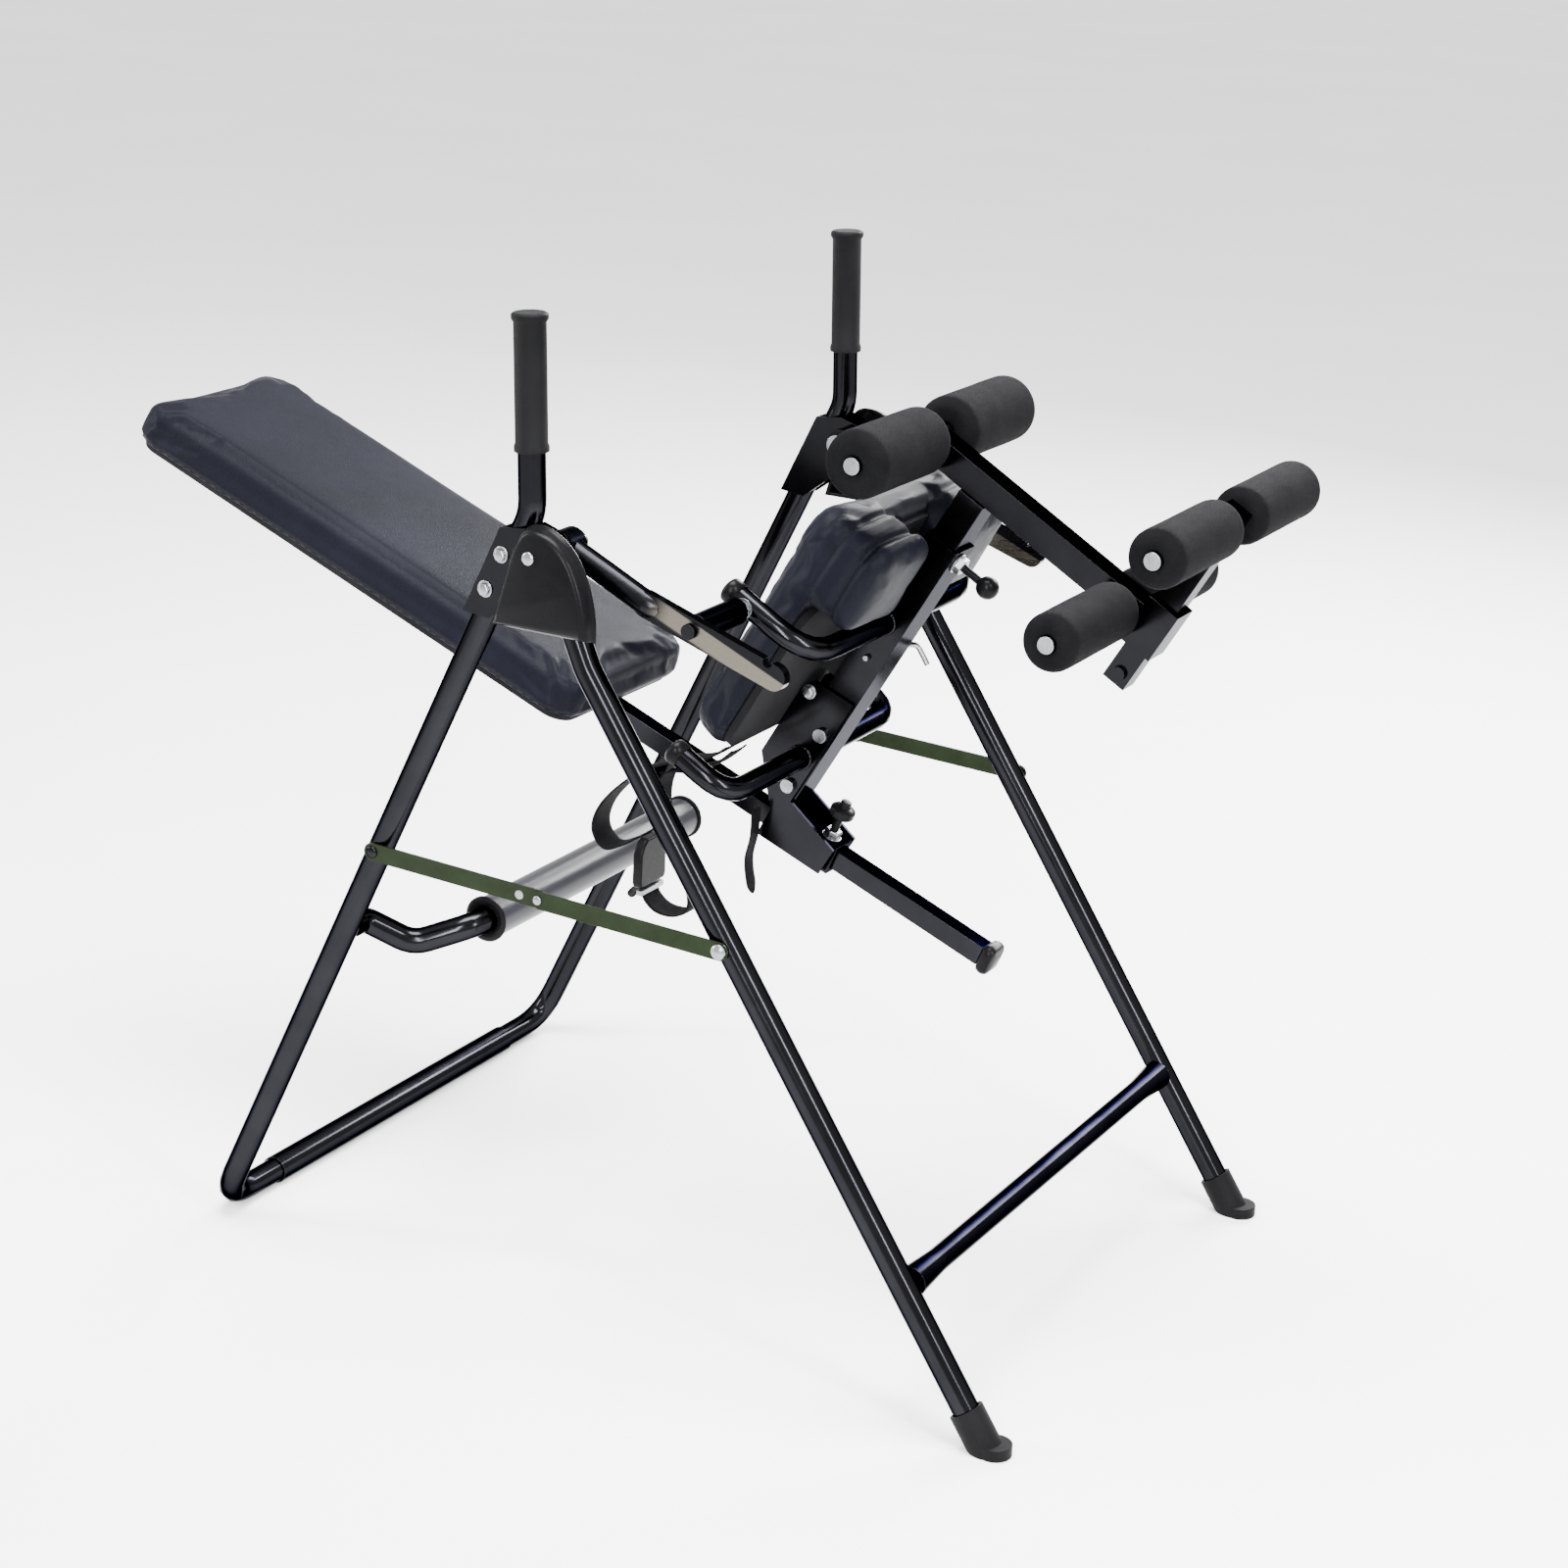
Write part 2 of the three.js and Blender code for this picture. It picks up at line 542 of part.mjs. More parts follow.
// Cushion with a roll hanging under each side of its front, one either side of the beam.
function seatPad() {
  const cushion = roundedBoard(SEAT_PAD.from, SEAT_PAD.to, SEAT_PAD.halfWidth, SEAT_PAD.low, SEAT_PAD.high, 45);
  const length = SEAT_PAD.to - SEAT_ROLL.from;
  const width = SEAT_PAD.halfWidth - SEAT_ROLL.inner;
  const height = SEAT_PAD.low + 5 - SEAT_ROLL.low;
  const roll = (sign) => block(length, width, height,
    SEAT_ROLL.from + length / 2, sign * (SEAT_ROLL.inner + width / 2), SEAT_ROLL.low + height / 2);
  const front = roundedBoard(SEAT_ROLL.from - 60, SEAT_PAD.to, SEAT_PAD.halfWidth, SEAT_ROLL.low, SEAT_PAD.high, 45);
  return join(cushion, common(front, roll(-1)), common(front, roll(1)));
}

const SLEEVE_WALL = (SLEEVE.outer - SLEEVE.inner) / 2;
const HEIGHT_PIN_S = -80;

function spineSleeve() {
  const body = boxTube(SLEEVE.from, SLEEVE.to, SLEEVE.outer, SLEEVE.outer, SLEEVE_WALL, SLEEVE_WALL, 0);
  const pinHole = rod(vec(HEIGHT_PIN_S, 0, 0), vec(HEIGHT_PIN_S, 0, 40), PIN_R + 0.6, 18);
  return cut(body, pinHole);
}

// Spring pull pin with a knob, drawn pointing up z from the outer tube's face. Its tip ends in that tube's wall.
function pullPin(knobProfile, length, depth) {
  const profile = [[0, -depth], [PIN_R, -depth], [PIN_R, length], ...knobProfile.map(([r, z]) => [r, length + z])];
  return new THREE.LatheGeometry(profile.map(([r, y]) => new THREE.Vector2(r, y)), 18).rotateX(Math.PI / 2);
}

function heightPin() {
  const lobes = pullPin([[13, 0], [16, 3], [16, 11], [12, 14], [7, 15], [7, 22], [0, 23]], 30, SLEEVE_WALL);
  return lobes.translate(HEIGHT_PIN_S, 0, SLEEVE.outer / 2);
}

function legPin() {
  const ball = [];
  for (let i = 1; i <= 7; i++) {
    const angle = (Math.PI * i) / 8;
    ball.push([14 * Math.sin(angle), 13 - 14 * Math.cos(angle)]);
  }
  return pullPin([...ball, [0, 27]], 34, BEAM.wall).rotateX(Math.PI).translate(LEG_PIN_U, 0, 0);
}

// Wire pin across the beam, with its end bent down.
function lockPin() {
  const y = BEAM.width / 2;
  return tube([
    vec(LOCK_PIN.u, -y - 6, LOCK_PIN.h), vec(LOCK_PIN.u, y + 22, LOCK_PIN.h),
    vec(LOCK_PIN.u + 14, y + 30, LOCK_PIN.h - 22),
    vec(LOCK_PIN.u + 2, y + 30, LOCK_PIN.h - 46),
  ], WIRE_R, 9, 12);
}

// Lap belt: webbing that hangs from the lower cradle in a loop.
// Its outline is drawn edge on and given the strap's width.
const BELT = { width: 50, thick: 4, outerY: 150 };

function lapBelt() {
  const line = new THREE.CatmullRomCurve3([
    vec(166, 0, 596), vec(128, 0, 560), vec(84, 0, 520), vec(60, 0, 486),
    vec(72, 0, 460), vec(104, 0, 462), vec(130, 0, 484),
  ]).getSpacedPoints(18);
  const edge = (sign) => line.map((point, i) => {
    const before = line[Math.max(i - 1, 0)];
    const after = line[Math.min(i + 1, line.length - 1)];
    const across = vec(before.z - after.z, 0, after.x - before.x).normalize();
    return [point.x + (sign * across.x * BELT.thick) / 2, point.z + (sign * across.z * BELT.thick) / 2];
  });
  return plate(polygon([...edge(1), ...edge(-1).reverse()]), -BELT.outerY, -BELT.outerY + BELT.width);
}

// ---------------------------------------------------------------- backrest
function spineTube() {
  return block(TAIL - BACK_PAD.from - 60, SPINE, SPINE, (TAIL + BACK_PAD.from + 60) / 2, 0, 0);
}

function spineCap() {
  const shape = roundedSquare(SPINE, 4);
  const flare = { depth: 4, bevelEnabled: true, bevelThickness: 7, bevelSize: 7, bevelSegments: 2, curveSegments: 3 };
  return new THREE.ExtrudeGeometry(shape, flare).rotateY(Math.PI / 2).translate(TAIL + 7 + GAP, 0, 0);
}

function roundedSquare(size, corner) {
  const half = size / 2;
  const shape = new THREE.Shape();
  shape.absarc(half - corner, half - corner, corner, 0, Math.PI / 2);
  shape.absarc(-half + corner, half - corner, corner, Math.PI / 2, Math.PI);
  shape.absarc(-half + corner, -half + corner, corner, Math.PI, 1.5 * Math.PI);
  shape.absarc(half - corner, -half + corner, corner, 1.5 * Math.PI, 2 * Math.PI);
  return shape;
}

// ---------------------------------------------------------------- leg post and rollers
function legPost() {
  const size = 34;
  const low = FRONT_ANKLE.h - ANKLE_BAR.size / 2 - 4;
  const high = KNEE.h + 22;
  const column = block(size, size, high - low - 40, POST_U, 0, (high + low + 40) / 2);
  const sleeve = block(64, 44, ANKLE_BAR.size + 12, POST_U, 0, FRONT_ANKLE.h);
  const barSpace = block(200, ANKLE_BAR.size + 1.2, ANKLE_BAR.size + 1.2, POST_U, 0, FRONT_ANKLE.h);
  const shaftHole = ({ u, h }) => rod(vec(u, -60, h), vec(u, 60, h), SHAFT_R + 0.6, 18);
  return cut(join(column, sleeve), barSpace, shaftHole(KNEE), shaftHole(REAR_ANKLE));
}

const LEG_TUBE_FROM = 62;
const LEG_TRAVEL = 100;           // the wire pin runs in a slot this long
const POST_FACE = POST_U - 17;

function legTube() {
  const start = LEG_TUBE_FROM;
  const end = POST_FACE - GAP;
  const body = block(end - start, LEG_TUBE.width, LEG_TUBE.height, (end + start) / 2, 0, BEAM.height / 2);
  const slotLength = LEG_TRAVEL + 2 * WIRE_R + 4;
  const slot = block(slotLength, 60, 2 * WIRE_R + 2, LOCK_PIN.u + WIRE_R + 2 - slotLength / 2, 0, LOCK_PIN.h);
  const pinU = (index) => LEG_PIN_U - 25 * index;
  const pinHole = (index) => rod(vec(pinU(index), 0, -20), vec(pinU(index), 0, 14), PIN_R + 0.6, 12);
  return cut(body, slot, ...[0, 1, 2, 3, 4].map(pinHole));
}

function ankleBar() {
  const { from, to, size } = ANKLE_BAR;
  const body = block(to - from, size, size, (to + from) / 2, 0, FRONT_ANKLE.h);
  const head = rod(vec(from + 14, -size / 2 - 5, FRONT_ANKLE.h), vec(from + 14, 0, FRONT_ANKLE.h), 9, 12);
  const shaftStart = vec(FRONT_ANKLE.u, -60, FRONT_ANKLE.h);
  const shaftHole = rod(shaftStart, vec(FRONT_ANKLE.u, 60, FRONT_ANKLE.h), SHAFT_R + GAP, 18);
  return cut(join(body, head), shaftHole);
}

function shaft({ u, h, halfLength }) {
  const end = halfLength + GAP;
  return turned([
    [0, -end - 3], [10, -end - 3], [10, -end], [SHAFT_R, -end], [SHAFT_R, end], [10, end], [10, end + 3], [0, end + 3],
  ], u, h, 18);
}

// Foam roller from the middle gap to the shaft's end, with round shoulders.
const ROLLER_INNER_Y = 26;

function foamRoller({ u, h, r, halfLength }) {
  const hole = SHAFT_R + 0.8;
  const shoulder = 12;
  const round = (y, sign) => [0, 1, 2].map((i) => {
    const angle = (Math.PI / 4) * i;
    return [r - shoulder + shoulder * Math.sin(angle), y + sign * shoulder * (1 - Math.cos(angle))];
  });
  const outerEnd = round(-halfLength, 1);
  const innerEnd = round(-ROLLER_INNER_Y, -1).reverse();
  const sleeve = [[hole, -halfLength], ...outerEnd, ...innerEnd, [hole, -ROLLER_INNER_Y], [hole, -halfLength]];
  return turned(sleeve, u, h, 20);
}

// ---------------------------------------------------------------- assembly
const model = new THREE.Group();
const seat = new THREE.Group();
seat.position.set(SEAT_ORIGIN.x, 0, SEAT_ORIGIN.z);
seat.rotation.y = -SEAT_TILT;
const back = new THREE.Group();
back.position.set(BACK_ORIGIN.x, 0, BACK_ORIGIN.z);
back.rotation.y = BACK_TILT;
model.add(seat, back);

for (const side of SIDES) {
  const both = (group, name, geometry, look) => add(group, `${name}_${side.name}`, onSide(geometry, side), look);
  both(model, 'rear_leg', rearLeg(), BLACK_PAINT);
  both(model, 'handle_grip', handleGrip(), BLACK_RUBBER);
  both(model, 'hinge_bracket', hingeBracket(), BLACK_PAINT);
  both(model, 'hinge_cover', hingeCover(), BLACK_PLASTIC);
  both(model, 'pivot_bolt', pivotBolt(), PLATED_STEEL);
  both(model, 'front_leg', frontLeg(), BLACK_PAINT);
  both(model, 'front_boot', frontBoot(), BLACK_RUBBER);
  both(model, 'link_rear', linkHalf(linkRear, linkMiddle, LINK_Y), ZINC_STRIP);
  both(model, 'link_front', linkHalf(linkFront, linkMiddle, LINK_Y + LINK_THICK + 0.8), ZINC_STRIP);
  both(model, 'link_bolt', linkBolt(linkFront, LINK_Y + LINK_THICK + 0.8), PLATED_STEEL);
  both(model, 'swing_arm', swingArm(), BLACK_PAINT);
  both(seat, 'arm_bolt', armBolt(), BLACK_PAINT);
  both(seat, 'upper_cradle', upperCradle(), BLACK_PAINT);
  both(seat, 'lower_cradle', cradle(LOWER_CRADLE, 104), BLACK_PAINT);
  both(seat, 'gusset', gusset(), BLACK_PAINT);
  both(seat, 'knee_roller', foamRoller(KNEE), BLACK_FOAM);
  both(seat, 'rear_ankle_roller', foamRoller(REAR_ANKLE), BLACK_FOAM);
  both(seat, 'front_ankle_roller', foamRoller(FRONT_ANKLE), BLACK_FOAM);
}

add(model, 'floor_bar', floorBar(), BLACK_PAINT);
add(model, 'stop_tube', stopTube(), BLACK_PAINT);
add(model, 'stop_roller', stopRoller(), GREY_PLASTIC);
add(model, 'front_crossbar', crossbar(), BLACK_PAINT);
add(model, 'lap_belt', lapBelt(), WEBBING);

add(seat, 'seat_beam', seatBeam(), BLACK_PAINT);
GUSSET_BOLTS.forEach(([u, h], i) => add(seat, `gusset_bolt_${i + 1}`, gussetBolt(u, h), PLATED_STEEL));
add(seat, 'seat_board', seatBoard(), BOARD_CLOTH);
add(seat, 'seat_pad', seatPad(), BLACK_VINYL);
add(seat, 'leg_pin', legPin(), BLACK_PLASTIC);
add(seat, 'lock_pin', lockPin(), PLATED_STEEL);
add(seat, 'leg_tube', legTube(), BLACK_PAINT);
add(seat, 'leg_post', legPost(), BLACK_PAINT);
add(seat, 'ankle_bar', ankleBar(), BLACK_PAINT);
add(seat, 'knee_shaft', shaft(KNEE), PLATED_STEEL);
add(seat, 'rear_ankle_shaft', shaft(REAR_ANKLE), PLATED_STEEL);
add(seat, 'front_ankle_shaft', shaft(FRONT_ANKLE), PLATED_STEEL);

add(back, 'spine_sleeve', spineSleeve(), BLACK_PAINT);
add(back, 'height_pin', heightPin(), BLACK_PLASTIC);
add(back, 'spine_tube', spineTube(), BLACK_PAINT);
add(back, 'spine_cap', spineCap(), BLACK_PLASTIC);
const backBoard = roundedBoard(BACK_PAD.from + 14, BACK_PAD.to - 14, BACK_PAD.halfWidth - 14,
  SPINE / 2 + GAP, BACK_PAD.low - GAP, 30);
add(back, 'back_board', backBoard, BOARD_CLOTH);
const backPad = roundedBoard(BACK_PAD.from, BACK_PAD.to, BACK_PAD.halfWidth, BACK_PAD.low, BACK_PAD.high, 40);
add(back, 'back_pad', backPad, BLACK_VINYL);

const box = new THREE.Box3().setFromObject(model, true);
model.position.x = -(box.min.x + box.max.x) / 2;
const inversionTable = new THREE.Group();
inversionTable.add(model);

export default inversionTable;
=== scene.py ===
"""Looks for the folding inversion table, built round its CAD model. Metres, Z up, +X to the user's feet."""
import json
import math

import bpy
from mathutils import Matrix, Vector, noise


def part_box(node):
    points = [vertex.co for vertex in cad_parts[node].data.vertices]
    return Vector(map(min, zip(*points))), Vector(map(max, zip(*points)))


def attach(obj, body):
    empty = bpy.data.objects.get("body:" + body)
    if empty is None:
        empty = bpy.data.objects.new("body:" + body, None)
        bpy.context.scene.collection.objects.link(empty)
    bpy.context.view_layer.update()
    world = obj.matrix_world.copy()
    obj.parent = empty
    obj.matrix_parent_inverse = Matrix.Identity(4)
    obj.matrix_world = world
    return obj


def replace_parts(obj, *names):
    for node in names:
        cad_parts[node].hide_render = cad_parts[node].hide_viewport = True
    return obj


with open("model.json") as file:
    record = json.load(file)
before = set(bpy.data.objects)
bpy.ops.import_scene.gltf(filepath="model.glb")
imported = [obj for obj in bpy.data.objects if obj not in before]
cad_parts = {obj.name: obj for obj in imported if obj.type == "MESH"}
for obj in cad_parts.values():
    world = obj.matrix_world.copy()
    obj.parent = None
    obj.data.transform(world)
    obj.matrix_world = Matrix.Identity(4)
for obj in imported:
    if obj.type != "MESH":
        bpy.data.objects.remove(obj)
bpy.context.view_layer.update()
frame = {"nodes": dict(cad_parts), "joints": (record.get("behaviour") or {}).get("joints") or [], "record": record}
NODES = frame["nodes"]
JOINTS = {joint["name"]: joint for joint in frame["joints"]}
SLOT_OF = {row["node"]: row["material_slot"] for row in frame["record"]["subparts"]}
SIDES = {"right": -1, "left": 1}

# ---------------------------------------------------------------- axes of the seat and the backrest
SEAT_TILT = math.radians(60)
BACK_TILT = math.radians(21.5)
PIVOT = Vector(JOINTS["inversion_swing"]["pos_m"])
KNEE_AXIS = Vector(JOINTS["knee_foam_spin_right"]["pos_m"])
KNEE_U, KNEE_H = 0.438, 0.107                   # the knee shaft in the seat's axes
PIVOT_TO_SPINE = Vector((0.248, 0.0, -0.4525))  # from the pivot to the spine's own origin
WORLD = Matrix.Identity(4)


def tilted(origin, angle):
    """Axes turned about Y: x climbs by the angle, z leans back."""
    return Matrix.Translation(origin) @ Matrix.Rotation(-angle, 4, "Y")


def up_of(axes):
    """The z direction of some axes."""
    return (axes @ Vector((0, 0, 1)) - axes @ Vector((0, 0, 0))).normalized()


def from_pivot(x, z, y=0.0):
    """A point given from the main pivot."""
    return PIVOT + Vector((x, y, z))


SEAT = tilted(KNEE_AXIS, SEAT_TILT) @ Matrix.Translation((-KNEE_U, 0, -KNEE_H))
BACK = tilted(PIVOT + PIVOT_TO_SPINE, -BACK_TILT)
SEAT_UP = up_of(SEAT)
BACK_UP = up_of(BACK)


def in_seat(u, y, h):
    """A point given along the seat, across it and above its beam."""
    return SEAT @ Vector((u, y, h))


# ---------------------------------------------------------------- material helpers
def shader(name, colour, roughness, metallic=0.0, **inputs):
    """A material with its node tree and its main shader."""
    made = bpy.data.materials.new(name)
    made.use_nodes = True
    tree = made.node_tree
    main = tree.nodes["Principled BSDF"]
    main.inputs["Base Color"].default_value = (*colour, 1)
    main.inputs["Roughness"].default_value = roughness
    main.inputs["Metallic"].default_value = metallic
    for key, value in inputs.items():
        main.inputs[key].default_value = value
    return made, tree, main


def texture(tree, kind, scale, stretch=(1, 1, 1), turn=(0, 0, 0), **values):
    """A procedural texture on the object's own coordinates in metres. Returns its node."""
    place = tree.nodes.new("ShaderNodeTexCoord")
    mapping = tree.nodes.new("ShaderNodeMapping")
    mapping.inputs["Scale"].default_value = stretch
    mapping.inputs["Rotation"].default_value = turn
    tree.links.new(place.outputs["Object"], mapping.inputs["Vector"])
    made = tree.nodes.new(kind)
    tree.links.new(mapping.outputs["Vector"], made.inputs["Vector"])
    made.inputs["Scale"].default_value = scale
    for key, value in values.items():
        made.inputs[key].default_value = value
    return made


def ramp(tree, source, low, high, low_colour, high_colour):
    """Colours between two values of a texture."""
    made = tree.nodes.new("ShaderNodeValToRGB")
    made.color_ramp.elements[0].position = low
    made.color_ramp.elements[1].position = high
    made.color_ramp.elements[0].color = (*low_colour, 1)
    made.color_ramp.elements[1].color = (*high_colour, 1)
    tree.links.new(source, made.inputs["Fac"])
    return made.outputs["Color"]


def spread(tree, source, low, high):
    """A texture's 0 to 1 mapped to a range."""
    made = tree.nodes.new("ShaderNodeMapRange")
    made.inputs["To Min"].default_value = low
    made.inputs["To Max"].default_value = high
    tree.links.new(source, made.inputs["Value"])
    return made.outputs["Result"]


def step(tree, source, low, high):
    """0 below one value, 1 above the other, smooth between."""
    made = tree.nodes.new("ShaderNodeMapRange")
    made.interpolation_type = "SMOOTHSTEP"
    made.inputs["From Min"].default_value = low
    made.inputs["From Max"].default_value = high
    tree.links.new(source, made.inputs["Value"])
    return made.outputs["Result"]


def times(tree, first, second):
    """The product of two values."""
    made = tree.nodes.new("ShaderNodeMath")
    made.operation = "MULTIPLY"
    tree.links.new(first, made.inputs[0])
    tree.links.new(second, made.inputs[1])
    return made.outputs["Value"]


def bump(tree, main, heights, distance, strength):
    """Bumps from one or more heights, each on top of the last."""
    normal = None
    for height in heights:
        made = tree.nodes.new("ShaderNodeBump")
        made.inputs["Distance"].default_value = distance
        made.inputs["Strength"].default_value = strength
        tree.links.new(height, made.inputs["Height"])
        if normal:
            tree.links.new(normal, made.inputs["Normal"])
        normal = made.outputs["Normal"]
    tree.links.new(normal, main.inputs["Normal"])


SLOW_BAND = (0.35, 0.7)                         # the noise values over which the colour changes
SMEAR_SHARE = 1 / 12                            # the unevenness of the gloss, as a share of the grain's scale


def grained(name, colour, other, roughness, rough_other, metallic=0.0, blotch=9.0, grain=700.0,
            depth=0.0002, strength=0.6, stretch=(1, 1, 1), cells=False, **inputs):
    """A surface with slow colour change, fine grain in its bump and an uneven roughness."""
    made, tree, main = shader(name, colour, roughness, metallic, **inputs)
    slow = texture(tree, "ShaderNodeTexNoise", blotch, Detail=6.0, Roughness=0.6)
    tree.links.new(ramp(tree, slow.outputs["Fac"], *SLOW_BAND, colour, other), main.inputs["Base Color"])
    smear = texture(tree, "ShaderNodeTexNoise", grain * SMEAR_SHARE, stretch, Detail=4.0)
    tree.links.new(spread(tree, smear.outputs["Fac"], roughness, rough_other), main.inputs["Roughness"])
    if cells:
        height = texture(tree, "ShaderNodeTexVoronoi", grain, stretch, Randomness=1.0).outputs["Distance"]
    else:
        height = texture(tree, "ShaderNodeTexNoise", grain, stretch, Detail=3.0).outputs["Fac"]
    bump(tree, main, [height], depth, strength)
    return made


# ---------------------------------------------------------------- materials
BLACK = (0.0085, 0.0085, 0.0098)
DARK_EDGE = (0.38, 0.38, 0.39)                  # glossy black stays dark where it is seen edge on
ARM_SLOPE = math.radians(23.3)                  # the arm's fall towards the user's feet
FLAT_START, FLAT_FULL = 0.125, 0.155            # from the pivot along the arm to its pressed part
FLAT_LOW, FLAT_HIGH = -0.008, 0.012             # band of the pressed face, across the arm
FLAT_SOFT = 0.002                               # how softly the band's edges end
# beige of the pressed face: a painted reflection of a bright panel on the glossy black
FLAT_REFLECTION_COLOUR = (0.1, 0.09, 0.074)


def webbing_material():
    """Woven strap: diagonal ribs with rows of picks across them."""
    made, tree, main = shader("webbing", (0.003, 0.003, 0.0036), 0.75, **{"Specular IOR Level": 0.03})
    slant = math.radians(45)
    ribs = texture(tree, "ShaderNodeTexWave", 260.0, turn=(0, 0, slant), Distortion=0.4, Detail=1.0)
    picks = texture(tree, "ShaderNodeTexWave", 340.0, turn=(slant, 0, 0), Distortion=0.3, Detail=1.0)
    slow = texture(tree, "ShaderNodeTexNoise", 40.0, Detail=4.0)
    colours = ramp(tree, slow.outputs["Fac"], 0.3, 0.75, (0.0016, 0.0016, 0.002), (0.0042, 0.0042, 0.005))
    tree.links.new(colours, main.inputs["Base Color"])
    bump(tree, main, [ribs.outputs["Fac"], picks.outputs["Fac"]], 0.0004, 0.7)
    return made


def board_material():
    """Thin non-woven cloth stapled over a board: black, matt, with fibres."""
    made, tree, main = shader("board_cloth", (0.003, 0.003, 0.0034), 0.9, **{"Specular IOR Level": 0.1})
    fibres = texture(tree, "ShaderNodeTexNoise", 420.0, (1, 3, 1), Detail=6.0, Roughness=0.7)
    slow = texture(tree, "ShaderNodeTexNoise", 14.0, Detail=5.0)
    colours = ramp(tree, slow.outputs["Fac"], 0.3, 0.75, (0.0025, 0.0025, 0.003), (0.006, 0.006, 0.0068))
    tree.links.new(colours, main.inputs["Base Color"])
    bump(tree, main, [fibres.outputs["Fac"]], 0.0003, 0.6)
    return made


def arm_material():
    """Black paint with a painted reflection on the pressed face: beige metal there stands in for a bright panel
    mirrored by the gloss.
    """
    made, tree, main = shader("swing_arm", BLACK, 0.18, 1.0)
    place = tree.nodes.new("ShaderNodeTexCoord")
    along = tree.nodes.new("ShaderNodeMapping")
    along.vector_type = "TEXTURE"
    along.inputs["Location"].default_value = PIVOT
    along.inputs["Rotation"].default_value = (0, ARM_SLOPE, 0)
    tree.links.new(place.outputs["Object"], along.inputs["Vector"])
    parts = tree.nodes.new("ShaderNodeSeparateXYZ")
    tree.links.new(along.outputs["Vector"], parts.inputs["Vector"])
    start = step(tree, parts.outputs["X"], FLAT_START, FLAT_FULL)
    low = step(tree, parts.outputs["Z"], FLAT_LOW - FLAT_SOFT, FLAT_LOW + FLAT_SOFT)
    high = step(tree, parts.outputs["Z"], FLAT_HIGH + FLAT_SOFT, FLAT_HIGH)
    # mask of the pressed face, where the painted reflection goes
    reflection_mask = times(tree, start, times(tree, low, high))
    tree.links.new(ramp(tree, reflection_mask, 0.0, 1.0, BLACK, FLAT_REFLECTION_COLOUR), main.inputs["Base Color"])
    tree.links.new(ramp(tree, reflection_mask, 0.0, 1.0, DARK_EDGE, (0.8, 0.8, 0.8)), main.inputs["Specular Tint"])
    grain = texture(tree, "ShaderNodeTexNoise", 320.0, (0.15, 1, 1), Detail=4.0)
    tree.links.new(spread(tree, grain.outputs["Fac"], 0.16, 0.4), main.inputs["Roughness"])
    bump(tree, main, [grain.outputs["Fac"]], 0.00004, 0.5)
    return made


MATERIALS = {
    "black_paint": grained("black_paint", BLACK, (0.012, 0.012, 0.0138), 0.12, 0.22, 1.0, grain=420.0,
                           depth=0.00004, strength=0.3, **{"Specular Tint": (*DARK_EDGE, 1)}),
    "plated_steel": grained("plated_steel", (0.24, 0.245, 0.25), (0.15, 0.155, 0.165), 0.18, 0.4, 1.0,
                            blotch=60.0, grain=1400.0, depth=0.00005),
    # dark zinc grey with a green tint painted in: the green is a painted reflection of a green floor
    "zinc_strip": grained("zinc_strip", (0.0098, 0.0148, 0.0066), (0.0062, 0.0098, 0.0042), 0.26, 0.48, 0.7,
                          blotch=30.0, grain=900.0, depth=0.00006, stretch=(0.08, 1, 1),
                          **{"Specular IOR Level": 0.1}),
    "black_rubber": grained("black_rubber", (0.0019, 0.0019, 0.0022), (0.0036, 0.0036, 0.004), 0.5, 0.72,
                            grain=900.0, **{"Specular IOR Level": 0.12, "IOR": 1.3}),
    "black_plastic": grained("black_plastic", (0.0018, 0.0018, 0.0021), (0.0032, 0.0032, 0.0036), 0.22, 0.36,
                             grain=1100.0, depth=0.0001, **{"Specular IOR Level": 0.1, "IOR": 1.3}),
    "grey_plastic": grained("grey_plastic", (0.0085, 0.0085, 0.0112), (0.0105, 0.0105, 0.0138), 0.26, 0.36,
                            grain=500.0, depth=0.00006, **{"Specular IOR Level": 0.12}),
    "black_vinyl": grained("black_vinyl", (0.0024, 0.0026, 0.0046), (0.0042, 0.0045, 0.0078), 0.4, 0.55,
                           blotch=6.0, grain=620.0, depth=0.00035, strength=0.5, cells=True,
                           **{"Specular IOR Level": 0.08, "IOR": 1.3}),
    "board_cloth": board_material(),
    "black_foam": grained("black_foam", (0.0018, 0.0018, 0.0022), (0.0034, 0.0034, 0.004), 0.82, 0.95,
                          blotch=24.0, grain=850.0, depth=0.0006, strength=0.8, cells=True,
                          **{"Specular IOR Level": 0.03}),
    "webbing": webbing_material(),
}
ARM_MATERIAL = arm_material()

# ---------------------------------------------------------------- carried-over CAD nodes
SMOOTH_ANGLE = math.radians(33)
FLAT_ANGLE = math.radians(1)
MERGE = 0.00002
BEVELS = {"black_plastic": 0.0012, "black_rubber": 0.0012, "zinc_strip": 0.0004}
OTHER_BEVEL = 0.0007
ARM_BEVEL = 0.0035


def round_edges(shown, width, segments):
    """A bevel on the sharp edges, which leaves the flats flat."""
    edge = shown.modifiers.new("edge", "BEVEL")
    edge.width = width
    edge.segments = segments
    edge.limit_method = "ANGLE"
    edge.angle_limit = SMOOTH_ANGLE
    edge.harden_normals = True


def shade_smooth(mesh):
    """Smooth shading on every face."""
    mesh.polygons.foreach_set("use_smooth", [True] * len(mesh.polygons))


